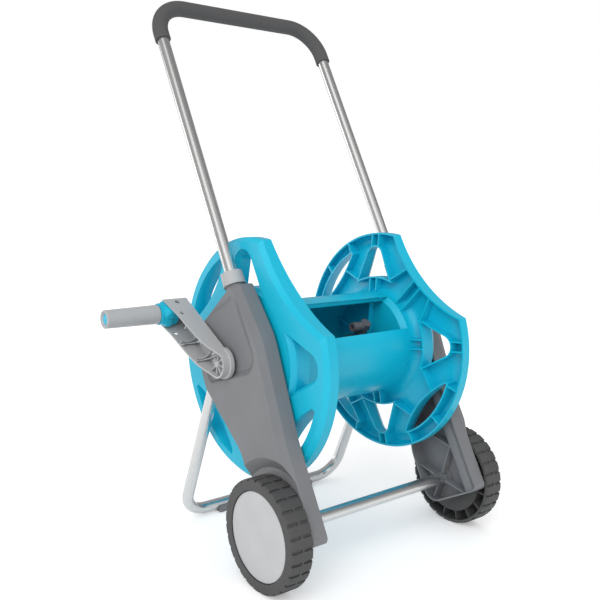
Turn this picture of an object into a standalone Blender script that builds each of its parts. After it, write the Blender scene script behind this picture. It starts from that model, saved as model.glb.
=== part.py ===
"""Two-wheeled garden hose reel cart.

Cart coordinates: X runs along the reel and wheel axles, with the crank at -X. The wheels' axle is
at Y = 0 and the support leg stands at +Y. Z is up from the ground. The handle tubes lean back, and
the side casings lie along them, so much of the side view is given as (up, front): a distance up
along the tubes from the wheels' axle, and one forward of the axle, square to the tubes.
"""

import math

import bmesh
import bpy
from mathutils import Matrix, Vector

# General clearances and walls
GAP = 0.0003
PLASTIC = 0.003
EMBED = 0.0015
SINK = 0.0004
RIB_THICK = 0.0024
BEYOND = 0.010
FLATNESS = math.radians(0.1)
ARC_STEP = math.radians(46)

# Stations along the reel's axis, from the cart's middle outwards
HALF_HOSE_WIDTH = 0.133
FLANGE_DEPTH = 0.0225
REEL_CLEARANCE = 0.0065
CASING_DEPTH = 0.035
CRANK_CLEARANCE = 0.0025
FLANGE_IN_X = HALF_HOSE_WIDTH
FLANGE_OUT_X = FLANGE_IN_X + FLANGE_DEPTH
CASING_IN_X = FLANGE_OUT_X + REEL_CLEARANCE
CASING_FACE_X = CASING_IN_X + CASING_DEPTH
BOSS_X = CASING_IN_X + 0.0012
CRANK_BACK_X = CASING_FACE_X + CRANK_CLEARANCE

# Wheels
WHEEL_R = 0.084
WHEEL_WIDTH = 0.037
ARCH_DEPTH = 0.011
ARCH_CLEARANCE = 0.0025
ARCH_FLOOR_X = CASING_FACE_X - ARCH_DEPTH
WHEEL_IN_X = ARCH_FLOOR_X + ARCH_CLEARANCE
WHEEL_FACE_X = WHEEL_IN_X + WHEEL_WIDTH
TREAD_BLOCKS = 28
TREAD_NOTCH = 0.0016
SHOULDER = 0.0035
CAP_R = 0.0658
CAP_SEAM = 0.0012
CAP_SEAT_DEPTH = 0.0065
CAP_SEAT_X = WHEEL_FACE_X - CAP_SEAT_DEPTH
CAP_DOME = 0.0012
CAP_EDGE = 0.0016
CAP_WALL = 0.0025
CAP_RING_DEPTH = 0.010
CAP_RING_TAPER = 0.0005
INNER_DISC_R = 0.062
INNER_DISC_SET = 0.002
POCKET_R = 0.078
POCKET_RIBS = 12
POCKET_SET = 0.004
CORE_SEGMENTS = 20
WHEEL_HUB_R = 0.014
WHEEL_HUB_SET = 0.002

# Wheel axle
AXLE_R = 0.004
AXLE_STUB = 0.001
AXLE_SEGMENTS = 12
WASHER_R = 0.009
WASHER_THICK = 0.0015

# Metal tubes
TUBE_R = 0.010
TUBE_WALL = 0.0012
TUBE_SIDES = 10
BEND_STEPS = 3

# Handle
LEAN = math.radians(27.8)
SLEEVE_R = 0.013
HANDLE_X = CASING_IN_X + SLEEVE_R + 0.0015
HANDLE_FRONT = 0.0534
HANDLE_RISE = 0.895
HANDLE_BEND = 0.060
HANDLE_FOOT = 0.262
HANDLE_TRAVEL = 0.150
GRIP_R = 0.0136
GRIP_END = 0.821
PLUG_HEAD = 0.004
PLUG_REACH = 0.012

# Clamp nuts on the casings
NECK_R = 0.015
NECK_TOP = 0.372
NUT_R = 0.018
NUT_HEIGHT = 0.0215
NUT_TAPER = 0.0008
NUT_SEGMENTS = 16
NUT_RIB_REACH = 0.0016
NUT_RIB_FOOT = 0.006
NUT_RIB_CREST = 0.004
NUT_RIB_SET = 0.001

# Side casings
CASING_BEVEL_X = CASING_FACE_X - 0.013
CASING_CHAMFER = 0.007
CASING_HEEL = 0.036
CASING_HEEL_BACK = 0.0425
CASING_WAIST_BACK = 0.028
CASING_BACK = 0.074
CASING_LIP = 0.0236
CASING_SWELL = 0.0205
CASING_TOP = NECK_TOP - 0.016
WEB_SET = 0.004
WEB_THICK = 0.0025
ARCH_FLOOR_R = WHEEL_R + 0.009
ARCH_FACE_R = WHEEL_R + 0.025
ARCH_REACH = 0.020
CASING_WAIST_UP = ARCH_FACE_R + 0.009
ARCH_SEGMENTS = 20
SLEEVE_SEGMENTS = 12
SLEEVE_FLOOR = HANDLE_FOOT - HANDLE_TRAVEL - PLUG_HEAD - GAP
AXLE_BOSS_R = 0.016
AXLE_SOCKET = 0.010
REEL_BOSS_R = 0.020
BEARING_WALL = 0.0034
BEARING_LENGTH = 0.026
RECESS_DEPTH = 0.0075
RECESS_RISE_UP = 0.055
RECESS_RISE_BACK = 0.035
RECESS_BELOW = 0.0363
RECESS_BACK_BELOW = 0.0123
RECESS_ABOVE = 0.0827
RECESS_FRONT = 0.064
RECESS_FRONT_TOP = 0.074
RECESS_BACK = 0.060

# Support leg
LEG_FOOT_Y = 0.298
LEG_TOP_RISE = 0.0358
LEG_TOP_BACK = 0.0204
LEG_X = CASING_IN_X + SLEEVE_R + 0.0013
LEG_BEND = 0.045
SOCKET_END = 0.003
PAD_UNDER = 0.002
PAD_X = 0.0945
PAD_WIDTH = 0.027
PAD_FORE = 0.0145
PAD_AFT = 0.015
PAD_HEIGHT = 0.013
PAD_LIP = 0.0015
PAD_BEVEL = 0.004

# Reel
REEL_UP = 0.2623
SHAFT_R = 0.012
SHAFT_BORE_R = 0.007
SHAFT_STUB = 0.001
HUB_WALL = 0.006
FLANGE_R = 0.193
FLANGE_CHAMFER = 0.007
FLANGE_SEGMENTS = 30
WINDOW_STEP = math.radians(16)
BITE_STEP = math.radians(8)
FLANGE_FRAME_SET = 0.0006
FLANGE_RIB_SET = 0.0012
DISH = 0.008
DRUM_R = 0.089
DRUM_FLARE = 0.008
DRUM_SEGMENTS = 22
HUB_SEGMENTS = 16
BULKHEAD_X = FLANGE_IN_X - 0.012
BULKHEAD_WEBS = 5
BULKHEAD_WEB_DEPTH = 0.010
HUB_RING_GAP = 0.020
HUB_RING_R = DRUM_R + DRUM_FLARE + HUB_RING_GAP
HUB_RING_LIP = 0.005
PATTERN_TURN = math.radians(4)
BITE_DEPTH = 0.047
BITE_HALF = math.radians(31)
APEX_R = 0.170
WINDOW_BASE_R = HUB_RING_R + 0.0015
WINDOW_BASE_HALF = math.radians(20)
WINDOW_BASE_ROUND = 0.006
WINDOW_APEX_ROUND = 0.010
LENS_OUT_R = 0.172
LENS_IN_R = 0.143
LENS_HALF = math.radians(23.5)
LENS_TIP = 0.004
FRAME_WALL = 0.0026
BASE_RIB_TURN = math.radians(7)
DRUM_WINDOW_FROM = math.radians(22)
DRUM_WINDOW_TO = math.radians(66)
DRUM_WINDOW_X = BULKHEAD_X - 0.0105

# Hose connector inside the drum
SPOUT_X = 0.070
SPOUT_ANGLE = math.radians(53)
SPOUT_REACH = 0.044
SPOUT_R = 0.008
SPOUT_BORE_R = 0.0044
SPOUT_NOSE = 0.028
SPOUT_SADDLE_HALF = 0.011
SPOUT_SADDLE_WALL = 0.005
BARB_SET = 0.004
BARB_LENGTH = 0.003
BARB_RISE = 0.001
FITTING_SIDES = 10

# Water inlet outside the far casing
INLET_R = 0.0105
INLET_NIPPLE_R = 0.0085
INLET_BORE_R = 0.0055
INLET_DROP = 0.040
INLET_PLATE_R = 0.019
INLET_PLATE = 0.0025
INLET_HUB_R = 0.0128
INLET_HEIGHT = 0.020
INLET_EDGE = 0.002
INLET_STANDOFF = 0.001
INLET_RELIEF = 0.0014
INLET_COLLAR_FROM = 0.015
INLET_COLLAR_TO = 0.021
INLET_LIP_FROM = 0.032
INLET_LIP_TO = 0.036
INLET_LIP_RISE = 0.0015

# Crank
CRANK_ANGLE = math.radians(30.4)
CRANK_HALF = 0.022
CRANK_CUT = 0.040
HALF_TURN_STEP = math.pi / 8
CRANK_WALL = 0.0032
CRANK_SEAT_X = CRANK_BACK_X - 0.0038
CRANK_BORE_R = 0.009
CRANK_BOSS_R = 0.0145
CRANK_FLOOR = 0.0025
CRANK_RIB_RISE = 0.0022
CRANK_RIB_THICK = 0.002
CRANK_HUB_WEBS = 6
CRANK_WEBS_U = (0.034, 0.066)
CRANK_HUB_RIM_X = CRANK_BACK_X + 0.0165
CRANK_RIM_X = CRANK_BACK_X + 0.0325
CRANK_RAMP_START = 0.004
CRANK_RAMP_END = 0.075
CRANK_TIP_ROUND = 0.007
CRANK_PIN_U = 0.134
CRANK_PIN_X = CRANK_BACK_X + 0.0215
CRANK_HOLE_U = 0.108
PIN_R = 0.0025
PIN_SEGMENTS = 8
KNUCKLE_R = 0.015
KNUCKLE_FLANGE_R = 0.0176
KNUCKLE_FLANGE = 0.006
KNUCKLE_REACH = 0.030
KNUCKLE_EDGE = 0.002
KNUCKLE_END_GAP = 0.0005
SPINDLE_R = 0.0085
SPINDLE_CHAMFER = 0.001
GRIP_LENGTH = 0.0917
CRANK_GRIP_ROOT_R = 0.0156
CRANK_GRIP_TIP_R = 0.0144
GRIP_EDGE = 0.0013
GRIP_RECESS = 0.002

COLOURS = {
    "cyan": ((0.02, 0.42, 0.68, 1.0), 0.38, 0.0),
    "dark_grey": ((0.17, 0.175, 0.185, 1.0), 0.5, 0.0),
    "light_grey": ((0.42, 0.43, 0.44, 1.0), 0.45, 0.0),
    "pale_grey": ((0.55, 0.56, 0.57, 1.0), 0.4, 0.0),
    "foam": ((0.06, 0.06, 0.065, 1.0), 0.7, 0.0),
    "tyre": ((0.05, 0.05, 0.052, 1.0), 0.65, 0.0),
    "aluminium": ((0.72, 0.72, 0.71, 1.0), 0.28, 1.0),
    "steel": ((0.55, 0.55, 0.56, 1.0), 0.35, 1.0),
    "fitting": ((0.12, 0.12, 0.13, 1.0), 0.45, 0.0),
}


# Side-view geometry

def slant(up, front):
    """(Y, Z) of a point of the side view given along and square to the handle tubes."""
    y = up * math.sin(LEAN) - front * math.cos(LEAN)
    z = WHEEL_R + up * math.cos(LEAN) + front * math.sin(LEAN)
    return y, z


REEL_Y, REEL_Z = slant(REEL_UP, 0)
LEG_Z = PAD_UNDER + GAP + TUBE_R
LEG_TOP_Y, LEG_TOP_Z = slant(REEL_UP + LEG_TOP_RISE, -LEG_TOP_BACK)
LEG_LENGTH = math.hypot(LEG_FOOT_Y - LEG_TOP_Y, LEG_TOP_Z - LEG_Z)
LEG_LEAN = math.asin((LEG_FOOT_Y - LEG_TOP_Y) / LEG_LENGTH)
LEG_SOCKET = (CASING_BACK - LEG_TOP_BACK) / math.sin(LEG_LEAN + LEAN) - SLEEVE_R


def polar(radius, angle, centre=(REEL_Y, REEL_Z)):
    """(Y, Z) of a point about a centre, its angle counted from -Y towards +Z."""
    return centre[0] - radius * math.cos(angle), centre[1] + radius * math.sin(angle)


def crank_point(x, along, across):
    """Point of the crank, given along its arm from the reel's axis and across it."""
    y = REEL_Y + along * math.cos(CRANK_ANGLE) - across * math.sin(CRANK_ANGLE)
    z = REEL_Z + along * math.sin(CRANK_ANGLE) + across * math.cos(CRANK_ANGLE)
    return Vector((x, y, z))


def steps_in(sweep, step=ARC_STEP):
    """Number of facets for an arc."""
    return max(1, math.ceil(abs(sweep) / step - 0.01))


def arc(centre, radius, start, end, step=ARC_STEP):
    """Points on an arc of the side view, both ends included."""
    count = steps_in(end - start, step)
    return [polar(radius, start + (end - start) * k / count, centre) for k in range(count + 1)]


def rounded(corners):
    """Outline through (a, b, radius) corners, each turned into an arc of its radius."""
    points = []
    for index, (a, b, radius) in enumerate(corners):
        corner = Vector((a, b))
        back = (Vector(corners[index - 1][:2]) - corner).normalized()
        ahead = (Vector(corners[(index + 1) % len(corners)][:2]) - corner).normalized()
        half = back.angle(ahead) / 2
        if radius <= 0:
            points.append(corner)
            continue
        centre = corner + (back + ahead).normalized() * radius / math.sin(half)
        first = corner + back * radius / math.tan(half) - centre
        last = corner + ahead * radius / math.tan(half) - centre
        sweep = math.atan2(first.cross(last), first.dot(last))
        count = steps_in(sweep)
        for k in range(count + 1):
            points.append(centre + Matrix.Rotation(sweep * k / count, 2) @ first)
    return [tuple(point) for point in points]


def inset(corners, distance):
    """The same corners moved inwards, for an outline that runs anticlockwise."""
    moved = []
    for index, (a, b, radius) in enumerate(corners):
        corner = Vector((a, b))
        arriving = (corner - Vector(corners[index - 1][:2])).normalized()
        leaving = (Vector(corners[(index + 1) % len(corners)][:2]) - corner).normalized()
        normal_in = Vector((-arriving.y, arriving.x))
        normal_out = Vector((-leaving.y, leaving.x))
        shift = (normal_in + normal_out) / (1 + normal_in.dot(normal_out)) * distance
        turn = 1 if arriving.cross(leaving) > 0 else -1
        moved.append((a + shift.x, b + shift.y, max(radius - turn * distance, 0.001)))
    return moved


# Mesh building

def faced_out(bm):
    """The same closed mesh with its faces pointing out."""
    bmesh.ops.recalc_face_normals(bm, faces=bm.faces)
    if bm.calc_volume(signed=True) < 0:
        bmesh.ops.reverse_faces(bm, faces=bm.faces)
    return bm


def skin(loops, closed=False):
    """Solid skinned over loops of equal length, capped at both ends or closed on itself."""
    bm = bmesh.new()
    rings = [[bm.verts.new(point) for point in loop] for loop in loops]
    spans = list(zip(rings, rings[1:]))
    if closed:
        spans.append((rings[-1], rings[0]))
    for lower, upper in spans:
        for k in range(len(lower)):
            after = (k + 1) % len(lower)
            bm.faces.new((lower[k], lower[after], upper[after], upper[k]))
    if not closed:
        bm.faces.new(rings[0])
        bm.faces.new(rings[-1])
    return faced_out(bm)


def at_x(outline, x):
    """A side-view outline as a loop at one X."""
    return [Vector((x, y, z)) for y, z in outline]


def prism(outline, x0, x1):
    """Side-view outline extruded along X."""
    return skin([at_x(outline, x0), at_x(outline, x1)])


def turned(profile, segments, centre, open_ends=False):
    """Profile of (x, radius) points spun about an X axis through a side-view centre."""
    bm = bmesh.new()
    verts = [bm.verts.new((x, centre[0] - radius, centre[1])) for x, radius in profile]
    edges = [bm.edges.new(pair) for pair in zip(verts, verts[1:])]
    if not open_ends:
        edges.append(bm.edges.new((verts[-1], verts[0])))
    bmesh.ops.spin(
        bm, geom=verts + edges, cent=(0, *centre), axis=(-1, 0, 0),
        angle=2 * math.pi, steps=segments, use_merge=True,
    )
    bmesh.ops.remove_doubles(bm, verts=bm.verts, dist=1e-6)
    return faced_out(bm)


def rod(start, end, radius, sides=16, end_radius=None):
    """Round bar between two points."""
    axis = (end - start).normalized()
    side = axis.orthogonal().normalized()
    other = axis.cross(side)
    loops = []
    for point, r in ((start, radius), (end, end_radius or radius)):
        angles = [2 * math.pi * k / sides for k in range(sides)]
        loops.append([point + (side * math.cos(a) + other * math.sin(a)) * r for a in angles])
    return skin(loops)


def swept(path, flat_normal, radius, bore):
    """Round tube along a flat path."""
    rings_out = []
    rings_in = []
    for index, point in enumerate(path):
        before = path[max(index - 1, 0)]
        after = path[min(index + 1, len(path) - 1)]
        ahead = (after - before).normalized()
        side = flat_normal.cross(ahead)
        for rings, r in ((rings_out, radius), (rings_in, bore)):
            ring = []
            for k in range(TUBE_SIDES):
                angle = 2 * math.pi * k / TUBE_SIDES
                ring.append(point + (flat_normal * math.cos(angle) + side * math.sin(angle)) * r)
            rings.append(ring)
    return skin(rings_out + rings_in[::-1], closed=True)


def bent_path(points, radius):
    """Path through the points, its inner corners bent to a radius."""
    path = [points[0]]
    for before, corner, after in zip(points, points[1:], points[2:]):
        back = (before - corner).normalized()
        ahead = (after - corner).normalized()
        half = back.angle(ahead) / 2
        centre = corner + (back + ahead).normalized() * radius / math.sin(half)
        first = corner + back * radius / math.tan(half) - centre
        axis = back.cross(ahead).normalized()
        sweep = math.pi - 2 * half
        for k in range(BEND_STEPS + 1):
            path.append(centre + Matrix.Rotation(-sweep * k / BEND_STEPS, 3, axis) @ first)
    path.append(points[-1])
    return path


def bar_between(start, end, x0, x1, thick):
    """Straight rib of the side view between two (Y, Z) points."""
    first = Vector(start)
    last = Vector(end)
    along = (last - first).normalized()
    across = Vector((-along.y, along.x)) * thick / 2
    outline = [first - across, last - across, last + across, first + across]
    return prism([tuple(point) for point in outline], x0, x1)


def joined(meshes):
    """Several meshes that don't touch, as one operand."""
    bm = bmesh.new()
    for part in meshes:
        mesh = bpy.data.meshes.new("operand")
        part.to_mesh(mesh)
        part.free()
        bm.from_mesh(mesh)
        bpy.data.meshes.remove(mesh)
    return bm


def combined(base, tool, operation):
    """Exact Boolean of two meshes."""
    objects = []
    for bm in (base, tool):
        mesh = bpy.data.meshes.new("operand")
        bm.to_mesh(mesh)
        bm.free()
        obj = bpy.data.objects.new("operand", mesh)
        bpy.context.collection.objects.link(obj)
        objects.append(obj)
    modifier = objects[0].modifiers.new("boolean", "BOOLEAN")
    modifier.operation = operation
    modifier.solver = "EXACT"
    modifier.object = objects[1]
    bpy.context.view_layer.update()
    evaluated = objects[0].evaluated_get(bpy.context.evaluated_depsgraph_get())
    result = bmesh.new()
    result.from_mesh(evaluated.to_mesh())
    evaluated.to_mesh_clear()
    for obj in objects:
        mesh = obj.data
        bpy.data.objects.remove(obj)
        bpy.data.meshes.remove(mesh)
    bmesh.ops.remove_doubles(result, verts=result.verts, dist=1e-6)
    bmesh.ops.dissolve_degenerate(result, edges=result.edges, dist=1e-6)
    bmesh.ops.dissolve_limit(
        result, angle_limit=FLATNESS, use_dissolve_boundaries=False,
        verts=result.verts, edges=result.edges)
    return result


def with_added(base, *tools):
    for tool in tools:
        base = combined(base, tool, "UNION")
    return base


def with_cut(base, *tools):
    for tool in tools:
        base = combined(base, tool, "DIFFERENCE")
    return base


def mirrored(bm, side):
    """The mesh on its own side, given as modelled at +X."""
    if side < 0:
        bmesh.ops.scale(bm, verts=bm.verts, vec=(-1, 1, 1))
        bmesh.ops.reverse_faces(bm, faces=bm.faces)
    return bm


# Scene

def cleared():
    for obj in list(bpy.data.objects):
        bpy.data.objects.remove(obj)


def material(name):
    colour, roughness, metallic = COLOURS[name]
    found = bpy.data.materials.new(name)
    found.use_nodes = True
    shader = found.node_tree.nodes["Principled BSDF"]
    shader.inputs["Base Color"].default_value = colour
    shader.inputs["Roughness"].default_value = roughness
    shader.inputs["Metallic"].default_value = metallic
    found.diffuse_color = colour
    return found


def body(name, location, parent=None):
    """Empty on a moving body's axis, placed in cart coordinates."""
    empty = bpy.data.objects.new(name, None)
    empty["place"] = tuple(location)
    start = Vector(parent["place"]) if parent else Vector((0, 0, 0))
    empty.parent = parent
    empty.location = Vector(location) - start
    bpy.context.collection.objects.link(empty)
    return empty


def add(name, bm, colour, carrier):
    """Object with the mesh, moved by the body that carries it."""
    bmesh.ops.translate(bm, verts=bm.verts, vec=-Vector(carrier["place"]))
    mesh = bpy.data.meshes.new(name)
    bm.to_mesh(mesh)
    bm.free()
    mesh.shade_smooth()
    mesh.set_sharp_from_angle(angle=math.radians(32))
    mesh.materials.append(material(colour))
    obj = bpy.data.objects.new(name, mesh)
    obj.parent = carrier
    bpy.context.collection.objects.link(obj)
    return obj


# Wheels

def wheel(side):
    """Wheel with a notched tread, a hollow under its cap and ribbed pockets inside."""
    out = WHEEL_FACE_X
    inner = WHEEL_IN_X
    seat = CAP_SEAT_X
    bore = AXLE_R + GAP
    disc = inner + INNER_DISC_SET
    rim_x = seat - PLASTIC
    seat_r = INNER_DISC_R - PLASTIC
    tyre = [
        (inner, POCKET_R),
        (inner + SHOULDER / 2, WHEEL_R - SHOULDER / 3),
        (inner + SHOULDER * 1.5, WHEEL_R),
        (out - SHOULDER * 1.5, WHEEL_R),
        (out - SHOULDER / 2, WHEEL_R - SHOULDER / 3),
        (out, CAP_R + CAP_SEAM),
        (rim_x, CAP_R + CAP_SEAM),
        (rim_x, POCKET_R),
    ]
    core = [
        (disc, bore),
        (disc, INNER_DISC_R),
        (rim_x + SINK, INNER_DISC_R),
        (rim_x + SINK, CAP_R + CAP_SEAM + PLASTIC),
        (seat, CAP_R + CAP_SEAM + PLASTIC),
        (seat, seat_r),
        (disc + PLASTIC, seat_r),
        (disc + PLASTIC, WHEEL_HUB_R),
        (seat - WHEEL_HUB_SET, WHEEL_HUB_R),
        (seat - WHEEL_HUB_SET, bore),
    ]
    bm = turned(tyre, 2 * TREAD_BLOCKS, (0, WHEEL_R))
    for vert in bm.verts:
        radius = math.hypot(vert.co.y, vert.co.z - WHEEL_R)
        turn = math.atan2(vert.co.z - WHEEL_R, -vert.co.y)
        odd = round(turn / (math.pi / TREAD_BLOCKS)) % 2
        on_shoulder = abs(radius - (WHEEL_R - SHOULDER / 3)) < 1e-5
        if odd and on_shoulder:
            shrink = (radius - TREAD_NOTCH) / radius
            vert.co.y *= shrink
            vert.co.z = WHEEL_R + (vert.co.z - WHEEL_R) * shrink
    ribs = []
    for k in range(POCKET_RIBS):
        angle = 2 * math.pi * (k + 0.5) / POCKET_RIBS
        start = polar(INNER_DISC_R - EMBED, angle, (0, WHEEL_R))
        end = polar(POCKET_R + EMBED, angle, (0, WHEEL_R))
        ribs.append(bar_between(start, end, inner + POCKET_SET, seat - EMBED, RIB_THICK))
    wheel_core = turned(core, CORE_SEGMENTS, (0, WHEEL_R))
    return mirrored(with_added(bm, wheel_core, joined(ribs)), side)


def hub_cap(side):
    """Slightly domed cap, with a ring behind it that plugs into the wheel."""
    seat = CAP_SEAT_X + GAP
    face = WHEEL_FACE_X
    ring = INNER_DISC_R - PLASTIC - GAP
    back = face - CAP_EDGE - CAP_WALL
    profile = [
        (face + CAP_DOME, 0),
        (face, CAP_R - 5 * CAP_EDGE),
        (face - CAP_EDGE, CAP_R),
        (seat, CAP_R),
        (seat, ring),
        (seat - CAP_RING_DEPTH, ring - CAP_RING_TAPER),
        (seat - CAP_RING_DEPTH, ring - CAP_RING_TAPER - CAP_WALL),
        (back, ring - CAP_WALL),
        (back, 0),
    ]
    return mirrored(turned(profile, CORE_SEGMENTS, (0, WHEEL_R), open_ends=True), side)


def axle_rod():
    """Steel rod through the axle tube, both casings and both wheels."""
    end = CAP_SEAT_X + AXLE_STUB
    profile = [(-end, 0), (-end, AXLE_R), (end, AXLE_R), (end, 0)]
    return turned(profile, AXLE_SEGMENTS, (0, WHEEL_R), True)


def axle_tube():
    """Aluminium tube between the casings, seated in their bosses."""
    end = CASING_IN_X + AXLE_SOCKET - GAP
    inner = TUBE_R - TUBE_WALL
    profile = [(-end, inner), (-end, TUBE_R), (end, TUBE_R), (end, inner)]
    return turned(profile, SLEEVE_SEGMENTS, (0, WHEEL_R))


def axle_washer(side):
    """Push-on washer that holds a wheel on the rod."""
    start = CAP_SEAT_X - WHEEL_HUB_SET + GAP
    profile = [(start, AXLE_R + GAP), (start, WASHER_R)]
    profile += [(start + WASHER_THICK, WASHER_R), (start + WASHER_THICK, AXLE_R + GAP)]
    return mirrored(turned(profile, AXLE_SEGMENTS, (0, WHEEL_R)), side)


# Side casings

def casing_corners():
    """Corners of a casing's outline as (up, front, radius), anticlockwise."""
    front = HANDLE_FRONT + CASING_LIP
    return [
        (-CASING_HEEL, -CASING_HEEL_BACK, 0.026),
        (CASING_WAIST_UP / 2, -CASING_HEEL_BACK + 0.001, 0.080),
        (CASING_WAIST_UP, -CASING_WAIST_BACK, 0.080),
        (REEL_UP - 0.024, -CASING_BACK, 0.060),
        (REEL_UP + 0.043, -CASING_BACK, 0.040),
        (CASING_TOP - 0.013, -0.005, 0.060),
        (CASING_TOP, front, 0.008),
        (REEL_UP + 0.005, front + CASING_SWELL, 0.100),
        (CASING_WAIST_UP - 0.006, front, 0.120),
        (-CASING_HEEL, front, 0.008),
    ]


def side_outline(corners):
    """(Y, Z) outline from (up, front) corners."""
    return [slant(up, front) for up, front in rounded(corners)]


def recess_pocket(grow):
    """Shallow pocket round the crank's hub, deepest at its lower front corner."""
    low = REEL_UP - RECESS_BELOW
    top = REEL_UP + RECESS_ABOVE + grow
    corners = [
        (REEL_UP - RECESS_BACK_BELOW - grow, -RECESS_BACK - grow, 0.006 + grow),
        (top, -RECESS_BACK - grow, 0.006 + grow),
        (top, RECESS_FRONT_TOP + grow, 0.012 + grow),
        (low - grow, RECESS_FRONT + grow, 0.016 + grow),
    ]
    floor = []
    for up, front in rounded(corners):
        rise = RECESS_RISE_UP * (up - low) + RECESS_RISE_BACK * (RECESS_FRONT - front)
        floor.append(Vector((CASING_FACE_X - RECESS_DEPTH + rise - grow, *slant(up, front))))
    mouth = [Vector((CASING_FACE_X + BEYOND, point.y, point.z)) for point in floor]
    return skin([floor, mouth])


def casing_shell(recess):
    """Open-backed shell, its walls even behind the wheel arch and behind a crank recess."""
    corners = casing_corners()
    bevelled = inset(corners, CASING_CHAMFER)
    outer = skin([
        at_x(side_outline(corners), CASING_IN_X),
        at_x(side_outline(corners), CASING_BEVEL_X),
        at_x(side_outline(bevelled), CASING_FACE_X),
    ])
    cavity = skin([
        at_x(side_outline(inset(corners, PLASTIC)), CASING_IN_X - BEYOND),
        at_x(side_outline(inset(corners, PLASTIC)), CASING_BEVEL_X - PLASTIC / 2),
        at_x(side_outline(inset(bevelled, PLASTIC)), CASING_FACE_X - PLASTIC),
    ])
    cavity = with_cut(cavity, wheel_arch(PLASTIC))
    if recess:
        cavity = with_cut(cavity, recess_pocket(PLASTIC))
    return with_cut(outer, cavity)


def wheel_arch(grow):
    """Flared arch that clears the wheel, or its liner when it is grown by the wall."""
    slope = (ARCH_FACE_R - ARCH_FLOOR_R) / ARCH_DEPTH
    return turned([
        (ARCH_FLOOR_X - grow, 0),
        (ARCH_FLOOR_X - grow, ARCH_FLOOR_R + grow),
        (ARCH_FLOOR_X + ARCH_REACH, ARCH_FLOOR_R + 2 * grow + slope * ARCH_REACH),
        (ARCH_FLOOR_X + ARCH_REACH, 0),
    ], ARCH_SEGMENTS, (0, WHEEL_R), True)


def tube_point(up, x=HANDLE_X):
    return Vector((x, *slant(up, HANDLE_FRONT)))


def leg_point(along):
    """Point on a leg tube's axis, along it from its lower corner."""
    y = LEG_FOOT_Y - along * math.sin(LEG_LEAN)
    z = LEG_Z + along * math.cos(LEG_LEAN)
    return Vector((LEG_X, y, z))


def casing_ribs():
    """Zigzag webs between the tube sleeve and the back wall."""
    near = CASING_IN_X + WEB_SET
    skin_x = CASING_FACE_X - EMBED
    sleeve = HANDLE_FRONT - SLEEVE_R + 2 * PLASTIC
    heel = PLASTIC + EMBED - CASING_HEEL
    stops = [
        (heel + 0.0015, 0.006),
        (0.022, EMBED - CASING_HEEL_BACK),
        (0.072, sleeve),
        (CASING_WAIST_UP - 0.006, -CASING_WAIST_BACK - 0.002),
        (CASING_WAIST_UP + 0.040, sleeve),
        (REEL_UP - 0.066, 0.018 - CASING_BACK),
        (REEL_UP - 0.036, sleeve),
    ]
    ribs = []
    for start, end in zip(stops, stops[1:]):
        ribs.append(bar_between(slant(*start), slant(*end), near, skin_x, WEB_THICK))
    return ribs


def side_casing(side):
    """Casing with the sleeve of its handle tube, its bosses, leg socket and webs."""
    crank_side = side < 0
    axle = (0, WHEEL_R)
    reel = (REEL_Y, REEL_Z)
    shell = casing_shell(crank_side)
    heel = tube_point(EMBED - CASING_HEEL)
    sleeve = rod(heel, tube_point(CASING_TOP - 2 * PLASTIC), SLEEVE_R, SLEEVE_SEGMENTS)
    neck = rod(tube_point(CASING_TOP - 2 * SLEEVE_R), tube_point(NECK_TOP), NECK_R, SLEEVE_SEGMENTS)
    socket = rod(
        leg_point(LEG_LENGTH + SOCKET_END), leg_point(LEG_LENGTH - LEG_SOCKET),
        SLEEVE_R, SLEEVE_SEGMENTS)
    skin_x = CASING_FACE_X - EMBED
    bosses = [
        turned([(BOSS_X, 0), (BOSS_X, r), (skin_x, r), (skin_x, 0)], HUB_SEGMENTS, centre, True)
        for centre, r in ((axle, AXLE_BOSS_R), (reel, REEL_BOSS_R))
    ]
    solid = with_added(shell, sleeve, neck, socket, *bosses)
    solid = with_added(solid, *casing_ribs())
    tube_bore = rod(tube_point(SLEEVE_FLOOR), tube_point(NECK_TOP + BEYOND), TUBE_R + GAP)
    leg_bore = rod(
        leg_point(LEG_LENGTH + GAP), leg_point(LEG_LENGTH - 2 * LEG_SOCKET), TUBE_R + GAP)
    far = CASING_FACE_X + BEYOND
    near = CASING_IN_X - BEYOND
    axle_end = CASING_IN_X + AXLE_SOCKET
    axle_bore = turned([
        (near, 0), (near, TUBE_R + GAP), (axle_end, TUBE_R + GAP),
        (axle_end, AXLE_R + GAP), (far, AXLE_R + GAP), (far, 0),
    ], SLEEVE_SEGMENTS, axle, True)
    bearing_end = BOSS_X + BEARING_LENGTH
    seat_r = SHAFT_R + BEARING_WALL + 2 * GAP
    reel_bore = turned([
        (near, 0), (near, seat_r), (bearing_end, seat_r),
        (bearing_end, SHAFT_R + GAP), (far, SHAFT_R + GAP), (far, 0),
    ], HUB_SEGMENTS, reel, True)
    solid = with_cut(solid, wheel_arch(0), tube_bore, leg_bore, axle_bore, reel_bore)
    if crank_side:
        solid = with_cut(solid, recess_pocket(0))
    return mirrored(solid, side)


def reel_bearing(side):
    """Plain bearing ring of the reel's shaft."""
    end = BOSS_X + BEARING_LENGTH - GAP
    inner = SHAFT_R + GAP
    outer = inner + BEARING_WALL
    profile = [(BOSS_X, inner), (BOSS_X, outer), (end, outer), (end, inner)]
    return mirrored(turned(profile, HUB_SEGMENTS, (REEL_Y, REEL_Z)), side)


# Support leg

def support_leg():
    """Bent tube whose ends stand in the casings' sockets."""
    top_left = leg_point(LEG_LENGTH)
    top_left.x = -LEG_X
    foot_left = Vector((-LEG_X, LEG_FOOT_Y, LEG_Z))
    foot_right = Vector((LEG_X, LEG_FOOT_Y, LEG_Z))
    path = bent_path([top_left, foot_left, foot_right, leg_point(LEG_LENGTH)], LEG_BEND)
    normal = Vector((0, math.cos(LEG_LEAN), math.sin(LEG_LEAN)))
    return swept(path, normal, TUBE_R, TUBE_R - TUBE_WALL)


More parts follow.
